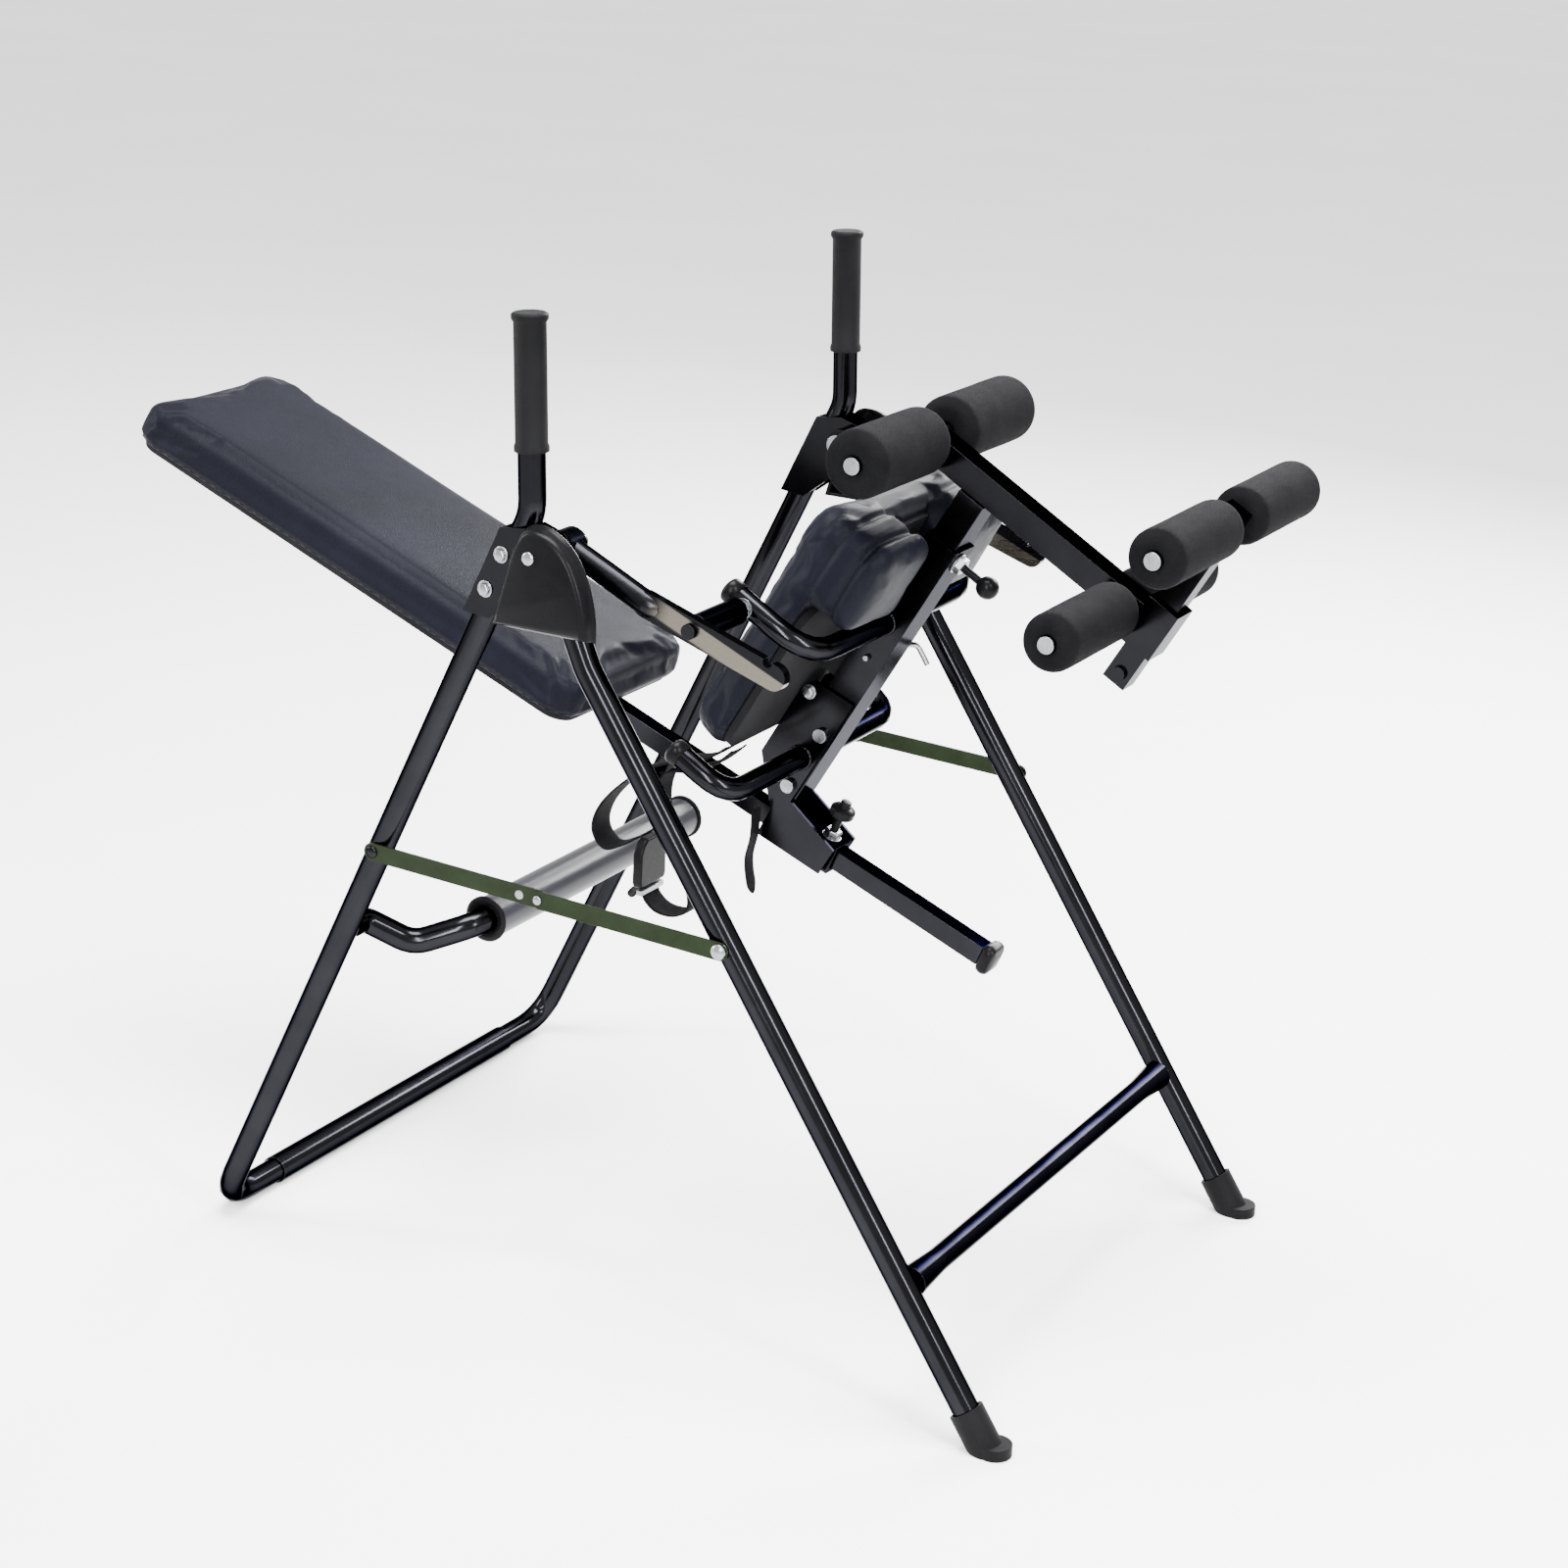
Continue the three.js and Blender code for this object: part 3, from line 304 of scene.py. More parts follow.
def dress(node):
    """Material, merged seams, small rounded edges and smooth round faces. The CAD vertices stay."""
    shown = NODES[node]
    mesh = shown.data
    is_arm = node.startswith("swing_arm")
    mesh.materials.clear()
    mesh.materials.append(ARM_MATERIAL if is_arm else MATERIALS[SLOT_OF[node]])
    if "custom_normal" in mesh.attributes:
        mesh.attributes.remove(mesh.attributes["custom_normal"])
    shade_smooth(mesh)
    weld = shown.modifiers.new("weld", "WELD")
    weld.merge_threshold = MERGE
    flat = shown.modifiers.new("flat", "DECIMATE")
    flat.decimate_type = "DISSOLVE"
    flat.angle_limit = FLAT_ANGLE
    round_edges(shown, ARM_BEVEL if is_arm else BEVELS.get(SLOT_OF[node], OTHER_BEVEL), 3)


for node_name in NODES:
    dress(node_name)


# ---------------------------------------------------------------- mesh helpers
def piece(name, vertices, faces, slot, body, axes=WORLD, bevel=0.0):
    """A mesh given in some axes, with its slot's material, riding on a body."""
    mesh = bpy.data.meshes.new(name)
    mesh.from_pydata([axes @ Vector(v) for v in vertices], [], faces)
    mesh.validate()
    made = bpy.data.objects.new(name, mesh)
    bpy.context.scene.collection.objects.link(made)
    mesh.materials.append(MATERIALS[slot])
    shade_smooth(mesh)
    if bevel:
        round_edges(made, bevel, 2)
    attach(made, body)
    return made


def across_axes(centre, direction):
    """Axes at a point with z along a direction."""
    turn = Vector(direction).to_track_quat("Z", "Y").to_matrix().to_4x4()
    return Matrix.Translation(centre) @ turn


def merged(*parts):
    """Several (vertices, faces) as one."""
    vertices, faces = [], []
    for more, its_faces in parts:
        faces += [tuple(i + len(vertices) for i in face) for face in its_faces]
        vertices += more
    return vertices, faces


def band(low, high, count):
    """Faces between two rings of points that start at these vertex numbers."""
    faces = []
    for i in range(count):
        j = (i + 1) % count
        faces.append((low + i, low + j, high + j, high + i))
    return faces


def skin(rings, count):
    """Faces over the first ring, between the rings and over the last."""
    faces = [tuple(range(count))[::-1]]
    for k in range(rings - 1):
        faces += band(k * count, (k + 1) * count, count)
    faces.append(tuple(range((rings - 1) * count, rings * count)))
    return faces


def lathe(profile, sides):
    """A turned shape about z. The profile's [radius, height] ends are on the axis, or it is closed."""
    closed = profile[0] == profile[-1]
    rings = profile[:-1] if closed else profile
    vertices, starts = [], []
    for radius, height in rings:
        is_point = radius == 0
        starts.append((len(vertices), is_point))
        for i in range(1 if is_point else sides):
            angle = 2 * math.pi * i / sides
            vertices.append((radius * math.cos(angle), radius * math.sin(angle), height))
    following = starts[1:] + (starts[:1] if closed else [])
    faces = []
    for (low, low_point), (high, high_point) in zip(starts, following):
        if low_point and high_point:
            continue
        if low_point:
            faces += [(low, high + (i + 1) % sides, high + i) for i in range(sides)]
        elif high_point:
            faces += [(low + i, low + (i + 1) % sides, high) for i in range(sides)]
        else:
            faces += band(low, high, sides)
    return vertices, faces


def arc(centre_r, centre_h, radius, start, end, steps=5):
    """Points of a profile's rounded corner, angles in degrees from the outward direction."""
    points = []
    for i in range(steps + 1):
        angle = math.radians(start + (end - start) * i / steps)
        points.append((centre_r + radius * math.cos(angle), centre_h + radius * math.sin(angle)))
    return points


def smooth_line(points, steps):
    """Points of a smooth curve through the given ones."""
    line = []
    last = len(points) - 1
    for i in range(last):
        p0, p1, p2, p3 = points[max(i - 1, 0)], points[i], points[i + 1], points[min(i + 2, last)]
        for k in range(steps):
            t = k / steps
            line.append(0.5 * ((2 * p1) + (p2 - p0) * t + (2 * p0 - 5 * p1 + 4 * p2 - p3) * t * t
                               + (3 * p1 - p0 - 3 * p2 + p3) * t * t * t))
    line.append(points[last].copy())
    return line


# ---------------------------------------------------------------- foam rollers
ROLLERS = {"knee": 0.040, "rear_ankle": 0.034, "front_ankle": 0.034}
SHAFT_HOLE = 0.0068
SHOULDER = 0.015
END_PINCH = 0.003                               # how far the end caps press the foam in, at the hole
PINCH_RING, PINCH_RING_DEEP = 0.006, 0.0006     # where the pinch runs out, past the hole
WAIST_STEPS = 22
LUMP_SIZE = 22                                  # lumps per metre
LUMP_SHARE = 0.011


def roller_profile(radius, half):
    """Closed section of a foam tube: hole, drawn-in ends, soft shoulders and an even side."""
    hole_end = (SHAFT_HOLE, -half + END_PINCH)
    profile = [hole_end, (SHAFT_HOLE + PINCH_RING, -half + PINCH_RING_DEEP)]
    profile += arc(radius - SHOULDER, -half + SHOULDER, SHOULDER, -90, 0, 7)
    for i in range(1, WAIST_STEPS):
        profile.append((radius, (half - SHOULDER) * (2 * i / WAIST_STEPS - 1)))
    profile += arc(radius - SHOULDER, half - SHOULDER, SHOULDER, 0, 90, 7)
    profile += [(SHAFT_HOLE + PINCH_RING, half - PINCH_RING_DEEP), (SHAFT_HOLE, half - END_PINCH), hole_end]
    return profile


def foam_roller(row, side):
    """One roller of a row, not quite even all over."""
    node = f"{row}_roller_{side}"
    low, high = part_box(node)
    centre = (low + high) / 2
    radius = ROLLERS[row]
    vertices, faces = lathe(roller_profile(radius, (high.y - low.y) / 2), 48)
    uneven = []
    for x, y, z in vertices:
        place = Vector((x, y, z + centre.x)) * LUMP_SIZE
        scale = 1 + LUMP_SHARE * math.hypot(x, y) / radius * noise.noise(place)
        uneven.append((x * scale, y * scale, z))
    made = piece(f"foam_{row}_{side}", uneven, faces, "black_foam", f"{row}_foam_{side}",
                 across_axes(centre, (0, 1, 0)))
    made.modifiers.new("soft", "SUBSURF").levels = 1
    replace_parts(made, node)


for row_name in ROLLERS:
    for side_name in SIDES:
        foam_roller(row_name, side_name)

# ---------------------------------------------------------------- cushions
VOXEL = 0.005
CLOTH_FRAMES = 20
CLOTH_PRESSURE = 4.0
SMALLEST_CORNER = 0.002
BACK_LOW, BACK_HIGH = Vector((-1.125, -0.142, 0.0227)), Vector((-0.401, 0.142, 0.069))
BACK_HELD = 0.008                               # this much of the back cushion's side stays put
SEAT_HALF, SEAT_BASE = 0.166, 0.0805            # half width, and height of the board's face
SEAT_LOW, SEAT_HIGH = Vector((0.013, -SEAT_HALF, SEAT_BASE)), Vector((0.359, SEAT_HALF, 0.128))
ON_BOARD = 0.006                                # a point this near the board's face lies on it
ROLL_START, ROLL_LOW, ROLL_INNER = 0.243, 0.017, 0.040
ROLL_OVERLAP = 0.02                             # how far the front rolls run up into the seat cushion
NEAR_SIDE = 0.86                                # share of the half width past which a point is near a side


def slab(low, high, corner, edge, edge_below=0.0, steps=6):
    """A slab with rounded corners seen from above and rounded edges, as rings from its base to its top."""
    (x0, y0, z0), (x1, y1, z1) = low, high
    angles = [math.pi / 2 * i / steps for i in range(steps + 1)]
    rings = []
    if edge_below:
        rings += [(edge_below * (1 - math.sin(angle)), z0 + edge_below * (1 - math.cos(angle)))
                  for angle in angles[:-1]]
    rings += [(0.0, z0 + edge_below), (0.0, z1 - edge)]
    rings += [(edge * (1 - math.cos(angle)), z1 - edge + edge * math.sin(angle)) for angle in angles[1:]]
    centres = [(x1 - corner, y1 - corner), (x0 + corner, y1 - corner),
               (x0 + corner, y0 + corner), (x1 - corner, y0 + corner)]
    vertices = []
    for inset, height in rings:
        r = max(corner - inset, SMALLEST_CORNER)
        for quarter, (cx, cy) in enumerate(centres):
            for i in range(steps + 1):
                angle = math.pi / 2 * (quarter + i / steps)
                vertices.append((cx + r * math.cos(angle), cy + r * math.sin(angle), height))
    return vertices, skin(len(rings), 4 * (steps + 1))


def apply_all(shown):
    """Puts a piece's modifiers into its mesh."""
    graph = bpy.context.evaluated_depsgraph_get()
    mesh = bpy.data.meshes.new_from_object(shown.evaluated_get(graph))
    shown.modifiers.clear()
    shown.data = mesh


def swell(shown, still, cap):
    """Cloth under pressure. The points in the list stay put, and none moves further than the cap."""
    rest = [v.co.copy() for v in shown.data.vertices]
    shown.vertex_groups.new(name="held").add(still, 1.0, "ADD")
    cloth = shown.modifiers.new("cloth", "CLOTH")
    cloth.settings.vertex_group_mass = "held"
    cloth.settings.quality = 5
    cloth.settings.mass = 0.3
    cloth.settings.tension_stiffness = 20
    cloth.settings.compression_stiffness = 20
    cloth.settings.bending_stiffness = 2
    cloth.settings.use_pressure = True
    cloth.settings.uniform_pressure_force = CLOTH_PRESSURE
    cloth.settings.effector_weights.gravity = 0
    cloth.point_cache.frame_start = 1
    cloth.point_cache.frame_end = CLOTH_FRAMES
    scene = bpy.context.scene
    for number in range(1, CLOTH_FRAMES + 1):
        scene.frame_set(number)
    apply_all(shown)
    scene.frame_set(1)
    for vertex, start in zip(shown.data.vertices, rest):
        move = vertex.co - start
        if move.length > cap:
            vertex.co = start + move * (cap / move.length)


def cushion(name, node, body, axes, slabs, stays, cap, crease):
    """A padded piece made of one or more slabs in some axes, swollen together and then creased."""
    vertices, faces = merged(*[slab(*sizes) for sizes in slabs])
    made = piece(name, vertices, faces, "black_vinyl", body, axes)
    remesh = made.modifiers.new("remesh", "REMESH")
    remesh.mode = "VOXEL"
    remesh.voxel_size = VOXEL
    apply_all(made)
    inverse = axes.inverted()
    still = [v.index for v in made.data.vertices if stays(inverse @ v.co)]
    swell(made, still, cap)
    for vertex in made.data.vertices:
        vertex.co = axes @ crease(inverse @ vertex.co)
    shade_smooth(made.data)
    made.modifiers.new("soft", "SUBSURF").levels = 1
    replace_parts(made, node)


def seam(height, middle, width=0.004, depth=0.004):
    """How far the cover is drawn in beside a seam."""
    return depth * math.exp(-((height - middle) / width) ** 2)


def drawn_in(co, low, high, amount):
    """The point moved towards the middle of a box, seen from above, if it is near the box's sides."""
    middle = (low + high) / 2
    moved = co.copy()
    for axis in (0, 1):
        away = (co[axis] - middle[axis]) / (high[axis] - middle[axis])
        if abs(away) > NEAR_SIDE:
            moved[axis] -= math.copysign(amount, away)
    return moved


def back_stays(co):
    """The backrest cushion's base and the foot of its sides."""
    return co.z < BACK_LOW.z + BACK_HELD


def back_crease(co):
    """The sides pull in between the corners, and a seam runs round just above the board."""
    along = (co.x - BACK_LOW.x) / (BACK_HIGH.x - BACK_LOW.x)
    waist = 0.002 * math.sin(math.pi * min(max(along, 0), 1))
    return drawn_in(co, BACK_LOW, BACK_HIGH, seam(co.z, BACK_LOW.z + 0.004, 0.003, 0.003) + waist)


def seat_stays(co):
    """The seat cushion where it lies on its board."""
    return abs(co.z - SEAT_BASE) < ON_BOARD and co.x < ROLL_START


def seat_crease(co):
    """Seams round the side at the board and on the rolls, and a shallow channel across the seat."""
    amount = seam(co.z, 0.05, 0.0045, 0.007) + seam(co.z, SEAT_LOW.z + 0.003)
    moved = drawn_in(co, SEAT_LOW, SEAT_HIGH, amount)
    if co.z > SEAT_LOW.z + 0.02:
        moved.z -= seam(co.x, 0.19, 0.007, 0.006)
    return moved


def front_roll(sign):
    """The slab of one roll that hangs over the seat's front edge, beside the beam."""
    near, far = sorted((sign * ROLL_INNER, sign * SEAT_HALF))
    low = (ROLL_START, near, ROLL_LOW)
    high = (SEAT_HIGH.x, far, SEAT_LOW.z + ROLL_OVERLAP)
    return low, high, 0.024, 0.002, 0.018


BACK_SLABS = [(BACK_LOW, BACK_HIGH, 0.040, 0.014)]
SEAT_SLABS = [(SEAT_LOW, SEAT_HIGH, 0.045, 0.020), front_roll(-1), front_roll(1)]
cushion("back_cushion", "back_pad", "backrest", BACK, BACK_SLABS, back_stays, 0.008, back_crease)
cushion("seat_cushion", "seat_pad", "carriage", SEAT, SEAT_SLABS, seat_stays, 0.006, seat_crease)

# ---------------------------------------------------------------- shapes of bolts, rivets, nuts and caps
FLANGE_PROFILE = [(0.0, 0.0), (1.0, 0.0), (1.0, 0.0012), (0.9, 0.002), (0.0, 0.002)]
HEAD_PROFILE = [(0.0, 0.0021), (0.76, 0.0021), (0.76, 0.0052), (0.62, 0.0062), (0.3, 0.0067), (0.0, 0.0068)]
WASHER_THICK = 0.0014
FLATS_START = 0.0015
NUT_CHAMFER = 0.001
FASTENER_BEVEL = 0.0003
CAP_PLAY, CAP_WALL = 0.0002, 0.0016             # the cap's inner and outer faces, past the tube
CAP_SKIRT, CAP_RIM, CAP_DOME = 0.011, 0.002, 0.007
ROUND_SIDES, HEX_SIDES = 28, 6


def scaled(profile, radius):
    """A profile whose radii are shares of one radius."""
    return [(share * radius, height) for share, height in profile]


def hex_bolt(name, centre, direction, radius, body):
    """Flange head: a washer face, six flats and a shallow dome."""
    flange = lathe(scaled(FLANGE_PROFILE, radius), ROUND_SIDES)
    head = lathe(scaled(HEAD_PROFILE, radius), HEX_SIDES)
    piece(name, *merged(flange, head), "plated_steel", body, across_axes(centre, direction), FASTENER_BEVEL)


def rivet(name, centre, direction, radius, body, slot="plated_steel", rise=0.0035, steps=6):
    """A low dome, whose rim is a quarter of its height."""
    rim = rise * 0.25
    points = [(0.0, 0.0), (radius, 0.0), (radius, rim)]
    for i in range(1, steps):
        angle = math.pi / 2 * i / steps
        points.append((radius * math.cos(angle), rim + (rise - rim) * math.sin(angle)))
    points.append((0.0, rise))
    piece(name, *lathe(points, 24), slot, body, across_axes(centre, direction))


def nut(name, centre, direction, radius, hole, height, body):
    """Hex nut round a shaft, with a washer under it."""
    washer_edge = radius * 1.15
    washer = lathe([(hole, 0.0), (washer_edge, 0.0), (washer_edge, WASHER_THICK), (hole, WASHER_THICK),
                    (hole, 0.0)], ROUND_SIDES)
    top = FLATS_START + height
    flats = lathe([(hole, FLATS_START), (radius, FLATS_START), (radius, top - NUT_CHAMFER),
                   (radius * 0.88, top), (hole, top), (hole, FLATS_START)], HEX_SIDES)
    piece(name, *merged(washer, flats), "plated_steel", body, across_axes(centre, direction), FASTENER_BEVEL)


def tube_cap(name, top, direction, tube, body, steps=6):
    """Plastic cap over a tube's end, with a rounded top."""
    inner, outer = tube + CAP_PLAY, tube + CAP_WALL
    profile = [(inner, -CAP_SKIRT), (outer, -CAP_SKIRT), (outer, CAP_RIM)]
    for i in range(1, steps):
        angle = math.pi / 2 * i / steps
        profile.append((outer * math.cos(angle), CAP_RIM + CAP_DOME * math.sin(angle)))
    profile += [(0.0, CAP_RIM + CAP_DOME), (0.0, 0.0003), (inner, 0.0003), profile[0]]
    piece(name, *lathe(profile, ROUND_SIDES), "black_plastic", body, across_axes(top, direction))


def weld_bead(name, centre, direction, ring, size, body, ripples=22):
    """Lumpy bead round a joint."""
    around, across = 4 * ripples, 8
    vertices, faces = [], []
    for i in range(around):
        angle = 2 * math.pi * i / around
        lump = size * (0.82 + 0.18 * abs(math.cos(ripples * angle / 2)))
        this, following = i * across, (i + 1) % around * across
        for j in range(across):
            turn = 2 * math.pi * j / across
            r = ring + lump * math.cos(turn)
            vertices.append((r * math.cos(angle), r * math.sin(angle), lump * math.sin(turn)))
            beside = (j + 1) % across
            faces.append((this + j, following + j, following + beside, this + beside))
    piece(name, vertices, faces, "black_paint", body, across_axes(centre, direction))


# ---------------------------------------------------------------- where the bolts, rivets, nuts and caps are
CHEEK_Y = 0.3856                                # outer face of the hinge bracket
COVER_Y = 0.4075                                # just off the outer face of the hinge cover
LINK_REAR_Y, LINK_FRONT_Y = 0.3857, 0.3890      # outer faces of the spreader links
BRACKET_BOLTS = [(-0.050, -0.008), (-0.071, -0.051)]
LINK_RIVETS = [(-0.019, -0.407, "rear_link", LINK_REAR_Y, 0.0004),
               (0.008, -0.407, "front_link", LINK_FRONT_Y, 0.0025)]
LINK_REAR_END = (-0.2272, -0.399)
CRADLE_UPRIGHT_Y, CRADLE_TUBE = 0.205, 0.014
CRADLES = {"upper": (0.222, 0.028, 0.149, 0.0255), "lower": (0.010, 0.023, 0.104, 0.0298)}
ARM_BOLT_U, ARM_BOLT_Y, ARM_BOLT_H = 0.222, 0.2194, 0.122
SEAT_BRACKET_U, SEAT_BRACKET_Y, SEAT_BRACKET_H = 0.088, 0.0296, 0.058
KNOB_SHAFT = 0.0056
STOP = from_pivot(-0.167, -0.518)
STOP_END_Y = 0.2326
DISC_HOLE, DISC_RADIUS, DISC_HALF, DISC_CHAMFER = 0.0175, 0.029, 0.002, 0.001


def side_fasteners(side, sign):
    """Everything small on one side, from the hinge bracket to the arm's bolt."""
    out = (0, sign, 0)
    for number, (x, z) in enumerate(BRACKET_BOLTS, 1):
        hex_bolt(f"bracket_bolt_{number}_{side}", from_pivot(x, z, sign * CHEEK_Y), out, 0.0098, "rear_frame")
    rivet(f"cover_screw_{side}", from_pivot(0, 0, sign * COVER_Y), out, 0.0078, "rear_frame")
    for number, (x, z, link, level, rise) in enumerate(LINK_RIVETS, 1):
        place = from_pivot(x, z, sign * level)
        rivet(f"link_rivet_{number}_{side}", place, out, 0.0055, f"{link}_{side}", rise=rise)
    rivet(f"link_rear_rivet_{side}", from_pivot(*LINK_REAR_END, sign * LINK_REAR_Y), out, 0.0075,
          "rear_frame", "black_paint")
    for name, (u, tube_h, top_h, joint_y) in CRADLES.items():
        top = in_seat(u, sign * CRADLE_UPRIGHT_Y, top_h)
        tube_cap(f"{name}_cradle_cap_{side}", top, SEAT_UP, CRADLE_TUBE, "carriage")
        joint = in_seat(u, sign * joint_y, tube_h)
        weld_bead(f"{name}_cradle_weld_{side}", joint, out, 0.0142, 0.0024, "carriage")
    nut(f"arm_bolt_nut_{side}", in_seat(ARM_BOLT_U, sign * ARM_BOLT_Y, ARM_BOLT_H), out, 0.0105, 0.0061,
        0.007, "carriage")


def stop_sleeve_disc(side, sign):
    """Black disc on the end of the padded sleeve."""
    rim, face = DISC_RADIUS - DISC_CHAMFER, DISC_HALF - DISC_CHAMFER
    profile = [(DISC_HOLE, -DISC_HALF), (rim, -DISC_HALF), (DISC_RADIUS, -face), (DISC_RADIUS, face),
               (rim, DISC_HALF), (DISC_HOLE, DISC_HALF), (DISC_HOLE, -DISC_HALF)]
    place = STOP + Vector((0, sign * STOP_END_Y, 0))
    piece(f"stop_sleeve_disc_{side}", *lathe(profile, 36), "black_plastic", "stop_sleeve",
          across_axes(place, (0, sign, 0)))


for side_name, side_sign in SIDES.items():
    side_fasteners(side_name, side_sign)
for side_name, side_sign in SIDES.items():
    stop_sleeve_disc(side_name, side_sign)
for end, side_sign in (("bolt", -1), ("nut", 1)):
    hex_bolt(f"seat_bracket_{end}", in_seat(SEAT_BRACKET_U, side_sign * SEAT_BRACKET_Y, SEAT_BRACKET_H),
             (0, side_sign, 0), 0.0095, "carriage")
nut("leg_knob_collar", in_seat(0.331, 0, -0.0002), -SEAT_UP, 0.0115, KNOB_SHAFT, 0.009, "carriage")
nut("height_knob_collar", BACK @ Vector((-0.08, 0, 0.0192)), BACK_UP, 0.011, KNOB_SHAFT, 0.009, "carriage")

# ---------------------------------------------------------------- hinge covers
COVER_BACK, COVER_THICK = 0.3862, 0.0022
COVER_INSET = COVER_THICK * 0.8                 # the inner face, in from the outer one
# how far the outline grows or shrinks, and how far from the bracket, from the flared rim to the flat face
COVER_PROFILE = [(0.0030, 0.0), (0.0026, 0.0016), (0.0010, 0.0036), (0.0, 0.0080), (-0.0006, 0.0125),
                 (-0.0020, 0.0165), (-0.0044, 0.0192), (-0.0075, 0.0205)]
# x and z from the pivot: the lower front corner, up round the top, and down to the lower rear corner
COVER_POINTS = [(0.075, -0.086), (0.0735, -0.060), (0.066, -0.028), (0.052, 0.002), (0.032, 0.022),
                (0.010, 0.0315), (-0.010, 0.029), (-0.022, 0.012), (-0.034, -0.024), (-0.052, -0.086)]


def cover_outline():
    """The cover's outline from the pivot: sharp at its two lower corners, smooth elsewhere. X and z."""
    curve = smooth_line([Vector((x, 0, z)) for x, z in COVER_POINTS], 6)
    return [Vector((p.x, p.z)) for p in curve]


def offset_outline(points, amount):
    """The outline moved outward everywhere by an amount, mitred at its corners."""
    count = len(points)
    moved = []
    for i, point in enumerate(points):
        before = (point - points[i - 1]).normalized()
        after = (points[(i + 1) % count] - point).normalized()
        first, second = Vector((before.y, -before.x)), Vector((after.y, -after.x))
        middle = (first + second).normalized()
        moved.append(point + middle * (amount / max(middle.dot(first), 0.6)))
    return moved


def hinge_cover(side, sign):
    """Moulded shell with a soft edge and a flared rim, open at the back."""
    outline = cover_outline()
    count = len(outline)
    rings = COVER_PROFILE + [(grow - COVER_INSET, max(depth - COVER_THICK, 0.0))
                             for grow, depth in reversed(COVER_PROFILE)]
    vertices = []
    for grow, depth in rings:
        vertices += [(p.x, sign * (COVER_BACK + depth), p.y) for p in offset_outline(outline, grow)]
    outer_face = len(COVER_PROFILE) - 1
    faces = []
    for k in range(len(rings)):
        if k != outer_face:
            faces += band(k * count, (k + 1) % len(rings) * count, count)
    faces.append(tuple(outer_face * count + i for i in range(count)))
    faces.append(tuple((outer_face + 1) * count + i for i in range(count))[::-1])
    axes = Matrix.Translation(Vector((PIVOT.x, 0, PIVOT.z)))
    made = piece(f"cover_shell_{side}", vertices, faces, "black_plastic", "rear_frame", axes)
    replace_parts(made, f"hinge_cover_{side}")


for side_name, side_sign in SIDES.items():
    hinge_cover(side_name, side_sign)

# ---------------------------------------------------------------- lap belt
BELT_Y = -0.125
LEFT_TAIL_Y, RIGHT_TAIL_Y = -0.112, -0.045
LOOP_THICK, TAIL_THICK = 0.0022, 0.0016
TIP_TAPER = 0.9                                 # how much of the width a tail loses at its tip
TIP_START = 0.75                                # share of the length where the narrowing starts
EDGE_CURL = 0.0012
CURL_WAVES, CURL_START = 9, 2                   # how the curl turns over along the strap, in radians
STRAP_STEPS, STRAP_CELLS = 10, 8
# each strap's line in x and z from the pivot: from the seat board down, or from the buckle on
UPPER_LOOP = [(0.1112, -0.2685), (0.078, -0.290), (0.030, -0.302), (-0.015, -0.325), (-0.058, -0.368),
              (-0.072, -0.405), (-0.056, -0.428), (-0.030, -0.420), (-0.008, -0.406)]
LOWER_LOOP = [(0.000, -0.470), (0.004, -0.484), (0.020, -0.496), (0.044, -0.497), (0.062, -0.486),
              (0.064, -0.466), (0.050, -0.435), (0.030, -0.400), (0.014, -0.360), (0.024, -0.318),
              (0.060, -0.308), (0.094, -0.293), (0.1178, -0.2728)]
LEFT_TAIL = [(-0.010, -0.460), (-0.019, -0.472), (-0.027, -0.484), (-0.034, -0.497)]
RIGHT_TAIL = [(0.1, -0.372), (0.097, -0.405), (0.092, -0.437), (0.097, -0.472), (0.098, -0.484)]
BUCKLE_AT, SLIDE_AT = (-0.002, -0.436), (0.0, -0.4735)
# half of the buckle's outline, across the strap and up
BUCKLE_HALF = [(0.027, -0.031), (0.030, -0.024), (0.029, 0.012), (0.023, 0.024), (0.014, 0.030)]
SLIDE_HALF = [(0.026, -0.0035), (0.026, 0.0035)]


def strap(name, places, y, width, thick, taper=0.0):
    """Flat webbing along a line, its width along Y, with a slight edge curl. It may narrow to a cut tip."""
    line = smooth_line([from_pivot(x, z, y) for x, z in places], STRAP_STEPS)
    last = len(line) - 1
    wide = Vector((0, 1, 0))
    vertices = []
    for i, place in enumerate(line):
        ahead = (line[min(i + 1, last)] - line[max(i - 1, 0)]).normalized()
        normal = wide.cross(ahead).normalized()
        share = i / last
        half = width / 2 * (1 - taper * max(0.0, share - TIP_START) / (1 - TIP_START))
        for face, cells in ((1, range(STRAP_CELLS + 1)), (-1, range(STRAP_CELLS, -1, -1))):
            for k in cells:
                offset = half * (2 * k / STRAP_CELLS - 1)
                curl = EDGE_CURL * (abs(offset) / half) ** 3 * math.sin(CURL_WAVES * share + CURL_START)
                vertices.append(place + wide * offset + normal * (curl + face * thick / 2))
    made = piece(name, vertices, skin(len(line), 2 * (STRAP_CELLS + 1)), "webbing", "carriage")
    return made


def pressed(name, half_outline, depth, slot, place, bevel):
    """An outline and its mirror image, pressed out to both sides, standing across the belt."""
    outline = [(-x, z) for x, z in half_outline[:1]] + half_outline
    outline += [(-x, z) for x, z in reversed(half_outline[1:])]
    count = len(outline)
    vertices = [(x, y, z) for y in (-depth / 2, depth / 2) for x, z in outline]
    faces = [tuple(range(count)), tuple(range(count, 2 * count))[::-1]]
    for i in range(count):
        j = (i + 1) % count
        faces.append((i, i + count, j + count, j))
    axes = Matrix.Translation(from_pivot(*place, BELT_Y)) @ Matrix.Rotation(math.radians(90), 4, "Z")
    piece(name, vertices, faces, slot, "carriage", axes, bevel)


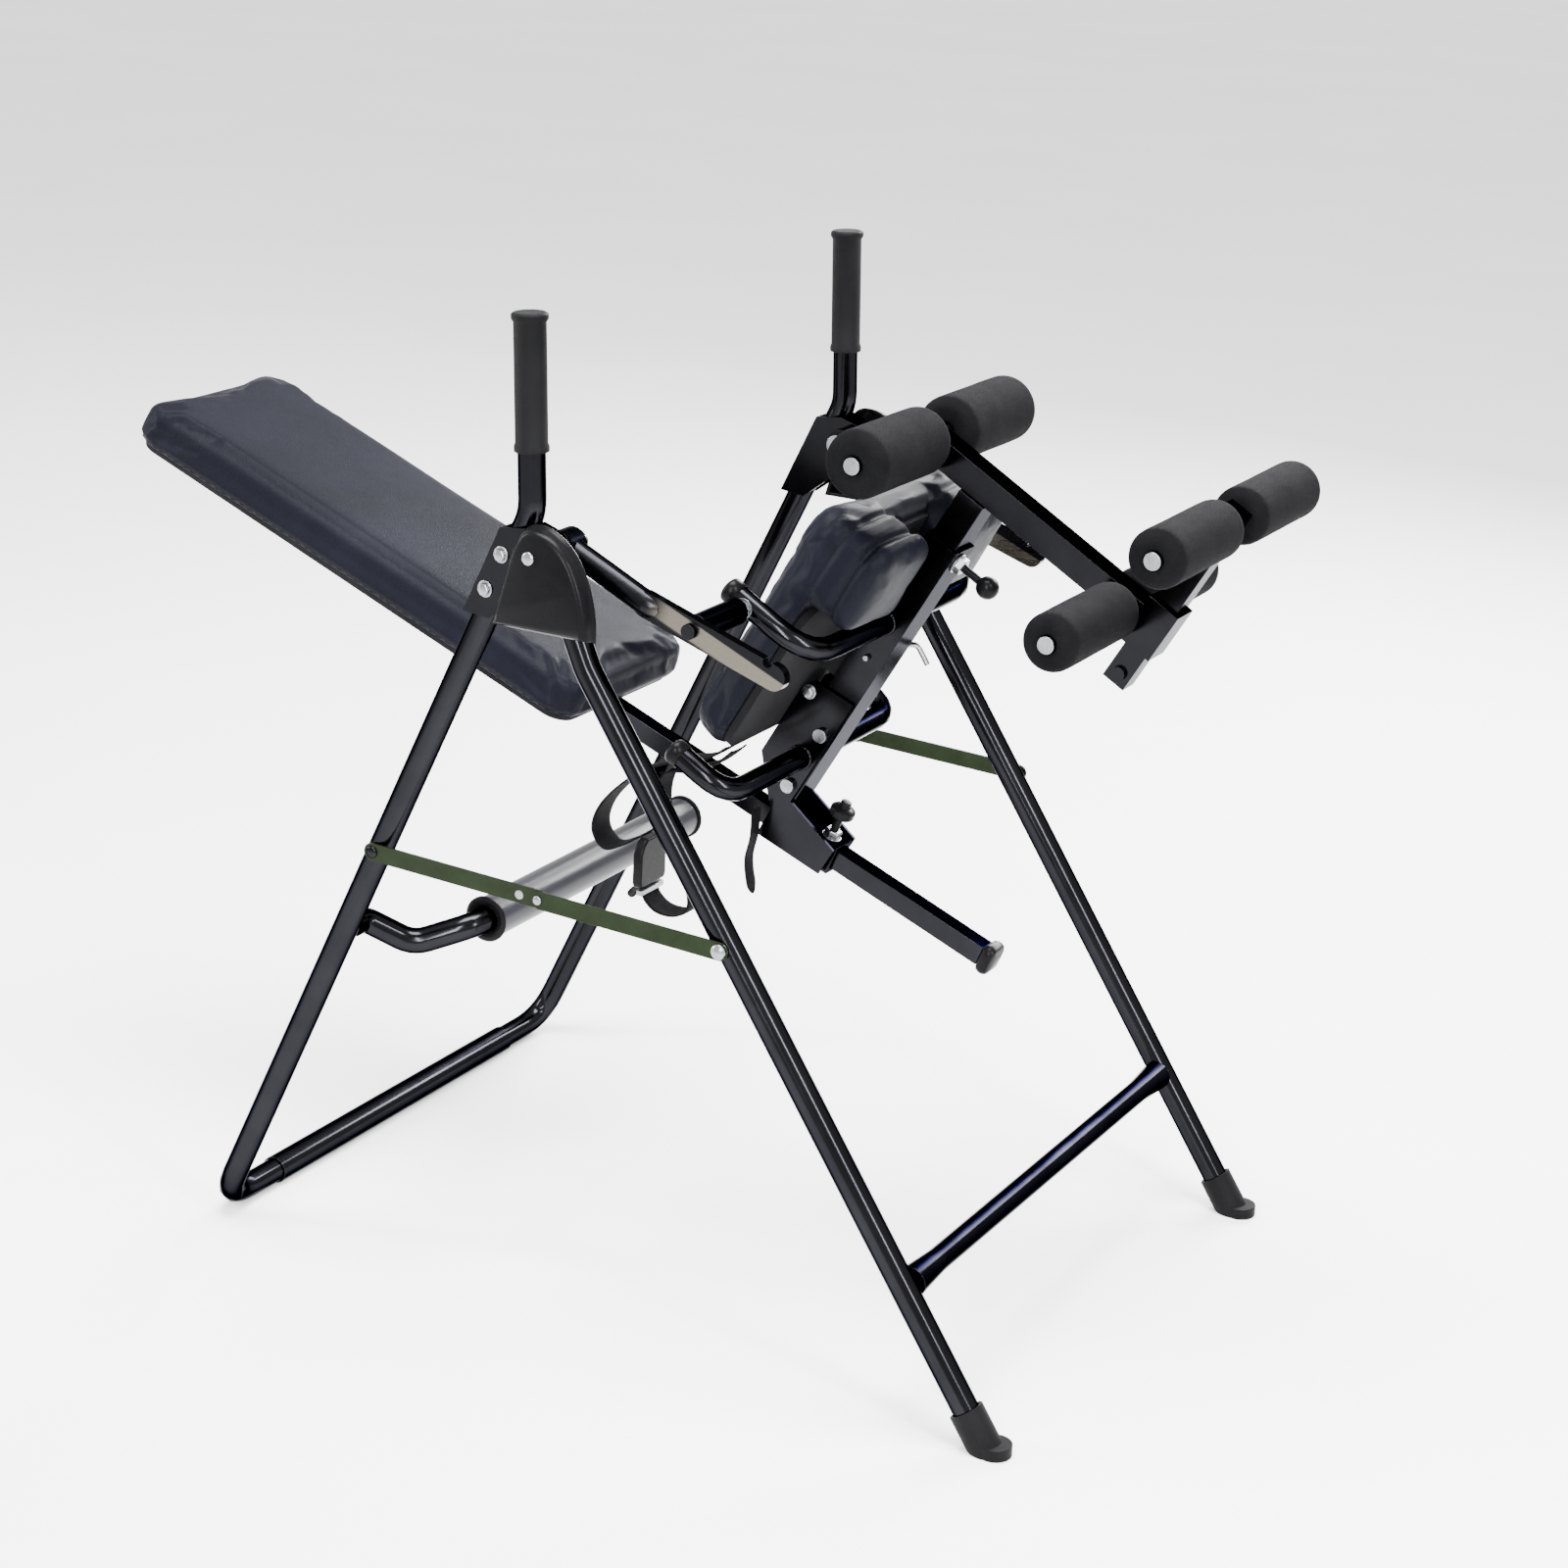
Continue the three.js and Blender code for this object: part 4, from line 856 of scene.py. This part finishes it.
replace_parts(strap("belt_upper_strap", UPPER_LOOP, BELT_Y, 0.040, LOOP_THICK), "lap_belt")
strap("belt_lower_strap", LOWER_LOOP, BELT_Y, 0.036, LOOP_THICK)
strap("belt_tail_left", LEFT_TAIL, LEFT_TAIL_Y, 0.034, TAIL_THICK, TIP_TAPER)
strap("belt_tail_right", RIGHT_TAIL, RIGHT_TAIL_Y, 0.020, TAIL_THICK, TIP_TAPER)
pressed("belt_buckle", BUCKLE_HALF, 0.013, "black_plastic", BUCKLE_AT, 0.003)
pressed("belt_slide", SLIDE_HALF, 0.008, "plated_steel", SLIDE_AT, 0.001)

# ---------------------------------------------------------------- floor, lights, camera
FLOOR_REACH = 80.0
FLOOR_GREYS = (0.8, 0.84)
WORLD_STRENGTH = 2.0
LIGHTS_AIM = (0, 0, 0.7)
LIGHTS = {
    "overhead": ((0.2, -0.4, 4.5), (2.6, 1.8), 800),
    "key": ((1.3, -3.4, 2.3), (0.3, 2.4), 260),
    "left_strip": ((-3.0, -1.6, 2.0), (0.3, 2.4), 180),
    "right_strip": ((3.1, -1.4, 2.4), (0.25, 2.4), 240),
    "back_bar": ((0.4, 3.6, 2.4), (3.0, 0.5), 520),
}
CAMERA_AZIMUTH = math.radians(28.55)
CAMERA_RISE = math.radians(18.68)
CAMERA_ROLL = math.radians(2.46)
CAMERA_FROM_PIVOT = Vector((1.9465, -3.3723, 0.9459))
LENS, SENSOR = 76.0, 36.0


def build_stage():
    """A wide pale floor under an even white sky."""
    mesh = bpy.data.meshes.new("floor")
    corners = [(x * FLOOR_REACH, y * FLOOR_REACH, 0) for x, y in ((-1, -1), (1, -1), (1, 1), (-1, 1))]
    mesh.from_pydata(corners, [], [(0, 1, 2, 3)])
    floor = bpy.data.objects.new("floor", mesh)
    bpy.context.scene.collection.objects.link(floor)
    low, high = [(grey, grey, grey) for grey in FLOOR_GREYS]
    paper, tree, main = shader("pale_floor", low, 0.6)
    slow = texture(tree, "ShaderNodeTexNoise", 1.2, Detail=3.0)
    tree.links.new(ramp(tree, slow.outputs["Fac"], 0.3, 0.7, low, high), main.inputs["Base Color"])
    mesh.materials.append(paper)
    world = bpy.data.worlds.new("studio")
    world.use_nodes = True
    sky = world.node_tree.nodes["Background"]
    sky.inputs["Color"].default_value = (1, 1, 1, 1)
    sky.inputs["Strength"].default_value = WORLD_STRENGTH
    bpy.context.scene.world = world


def build_lights():
    """Soft boxes above, at the sides and behind, all aimed at the middle of the frame."""
    for name, (place, size, power) in LIGHTS.items():
        data = bpy.data.lights.new(name, "AREA")
        data.shape = "RECTANGLE"
        data.size, data.size_y = size
        data.energy = power
        made = bpy.data.objects.new(name, data)
        made.location = place
        made.rotation_mode = "QUATERNION"
        made.rotation_quaternion = (Vector(LIGHTS_AIM) - Vector(place)).to_track_quat("-Z", "Y")
        bpy.context.scene.collection.objects.link(made)


def build_camera():
    """A camera in front and to the user's right, a little above the handles."""
    a, e, r = CAMERA_AZIMUTH, CAMERA_RISE, CAMERA_ROLL
    back = Vector((math.sin(a) * math.cos(e), -math.cos(a) * math.cos(e), math.sin(e)))
    right = Vector((math.cos(a), math.sin(a), 0))
    up = back.cross(right)
    rolled_right = math.cos(r) * right + math.sin(r) * up
    rolled_up = -math.sin(r) * right + math.cos(r) * up
    data = bpy.data.cameras.new("camera")
    data.lens = LENS
    data.sensor_width = SENSOR
    camera = bpy.data.objects.new("camera", data)
    axes = Matrix((rolled_right, rolled_up, back)).transposed().to_4x4()
    camera.matrix_world = Matrix.Translation(PIVOT + CAMERA_FROM_PIVOT) @ axes
    bpy.context.scene.collection.objects.link(camera)
    bpy.context.scene.camera = camera


build_stage()
build_lights()
build_camera()
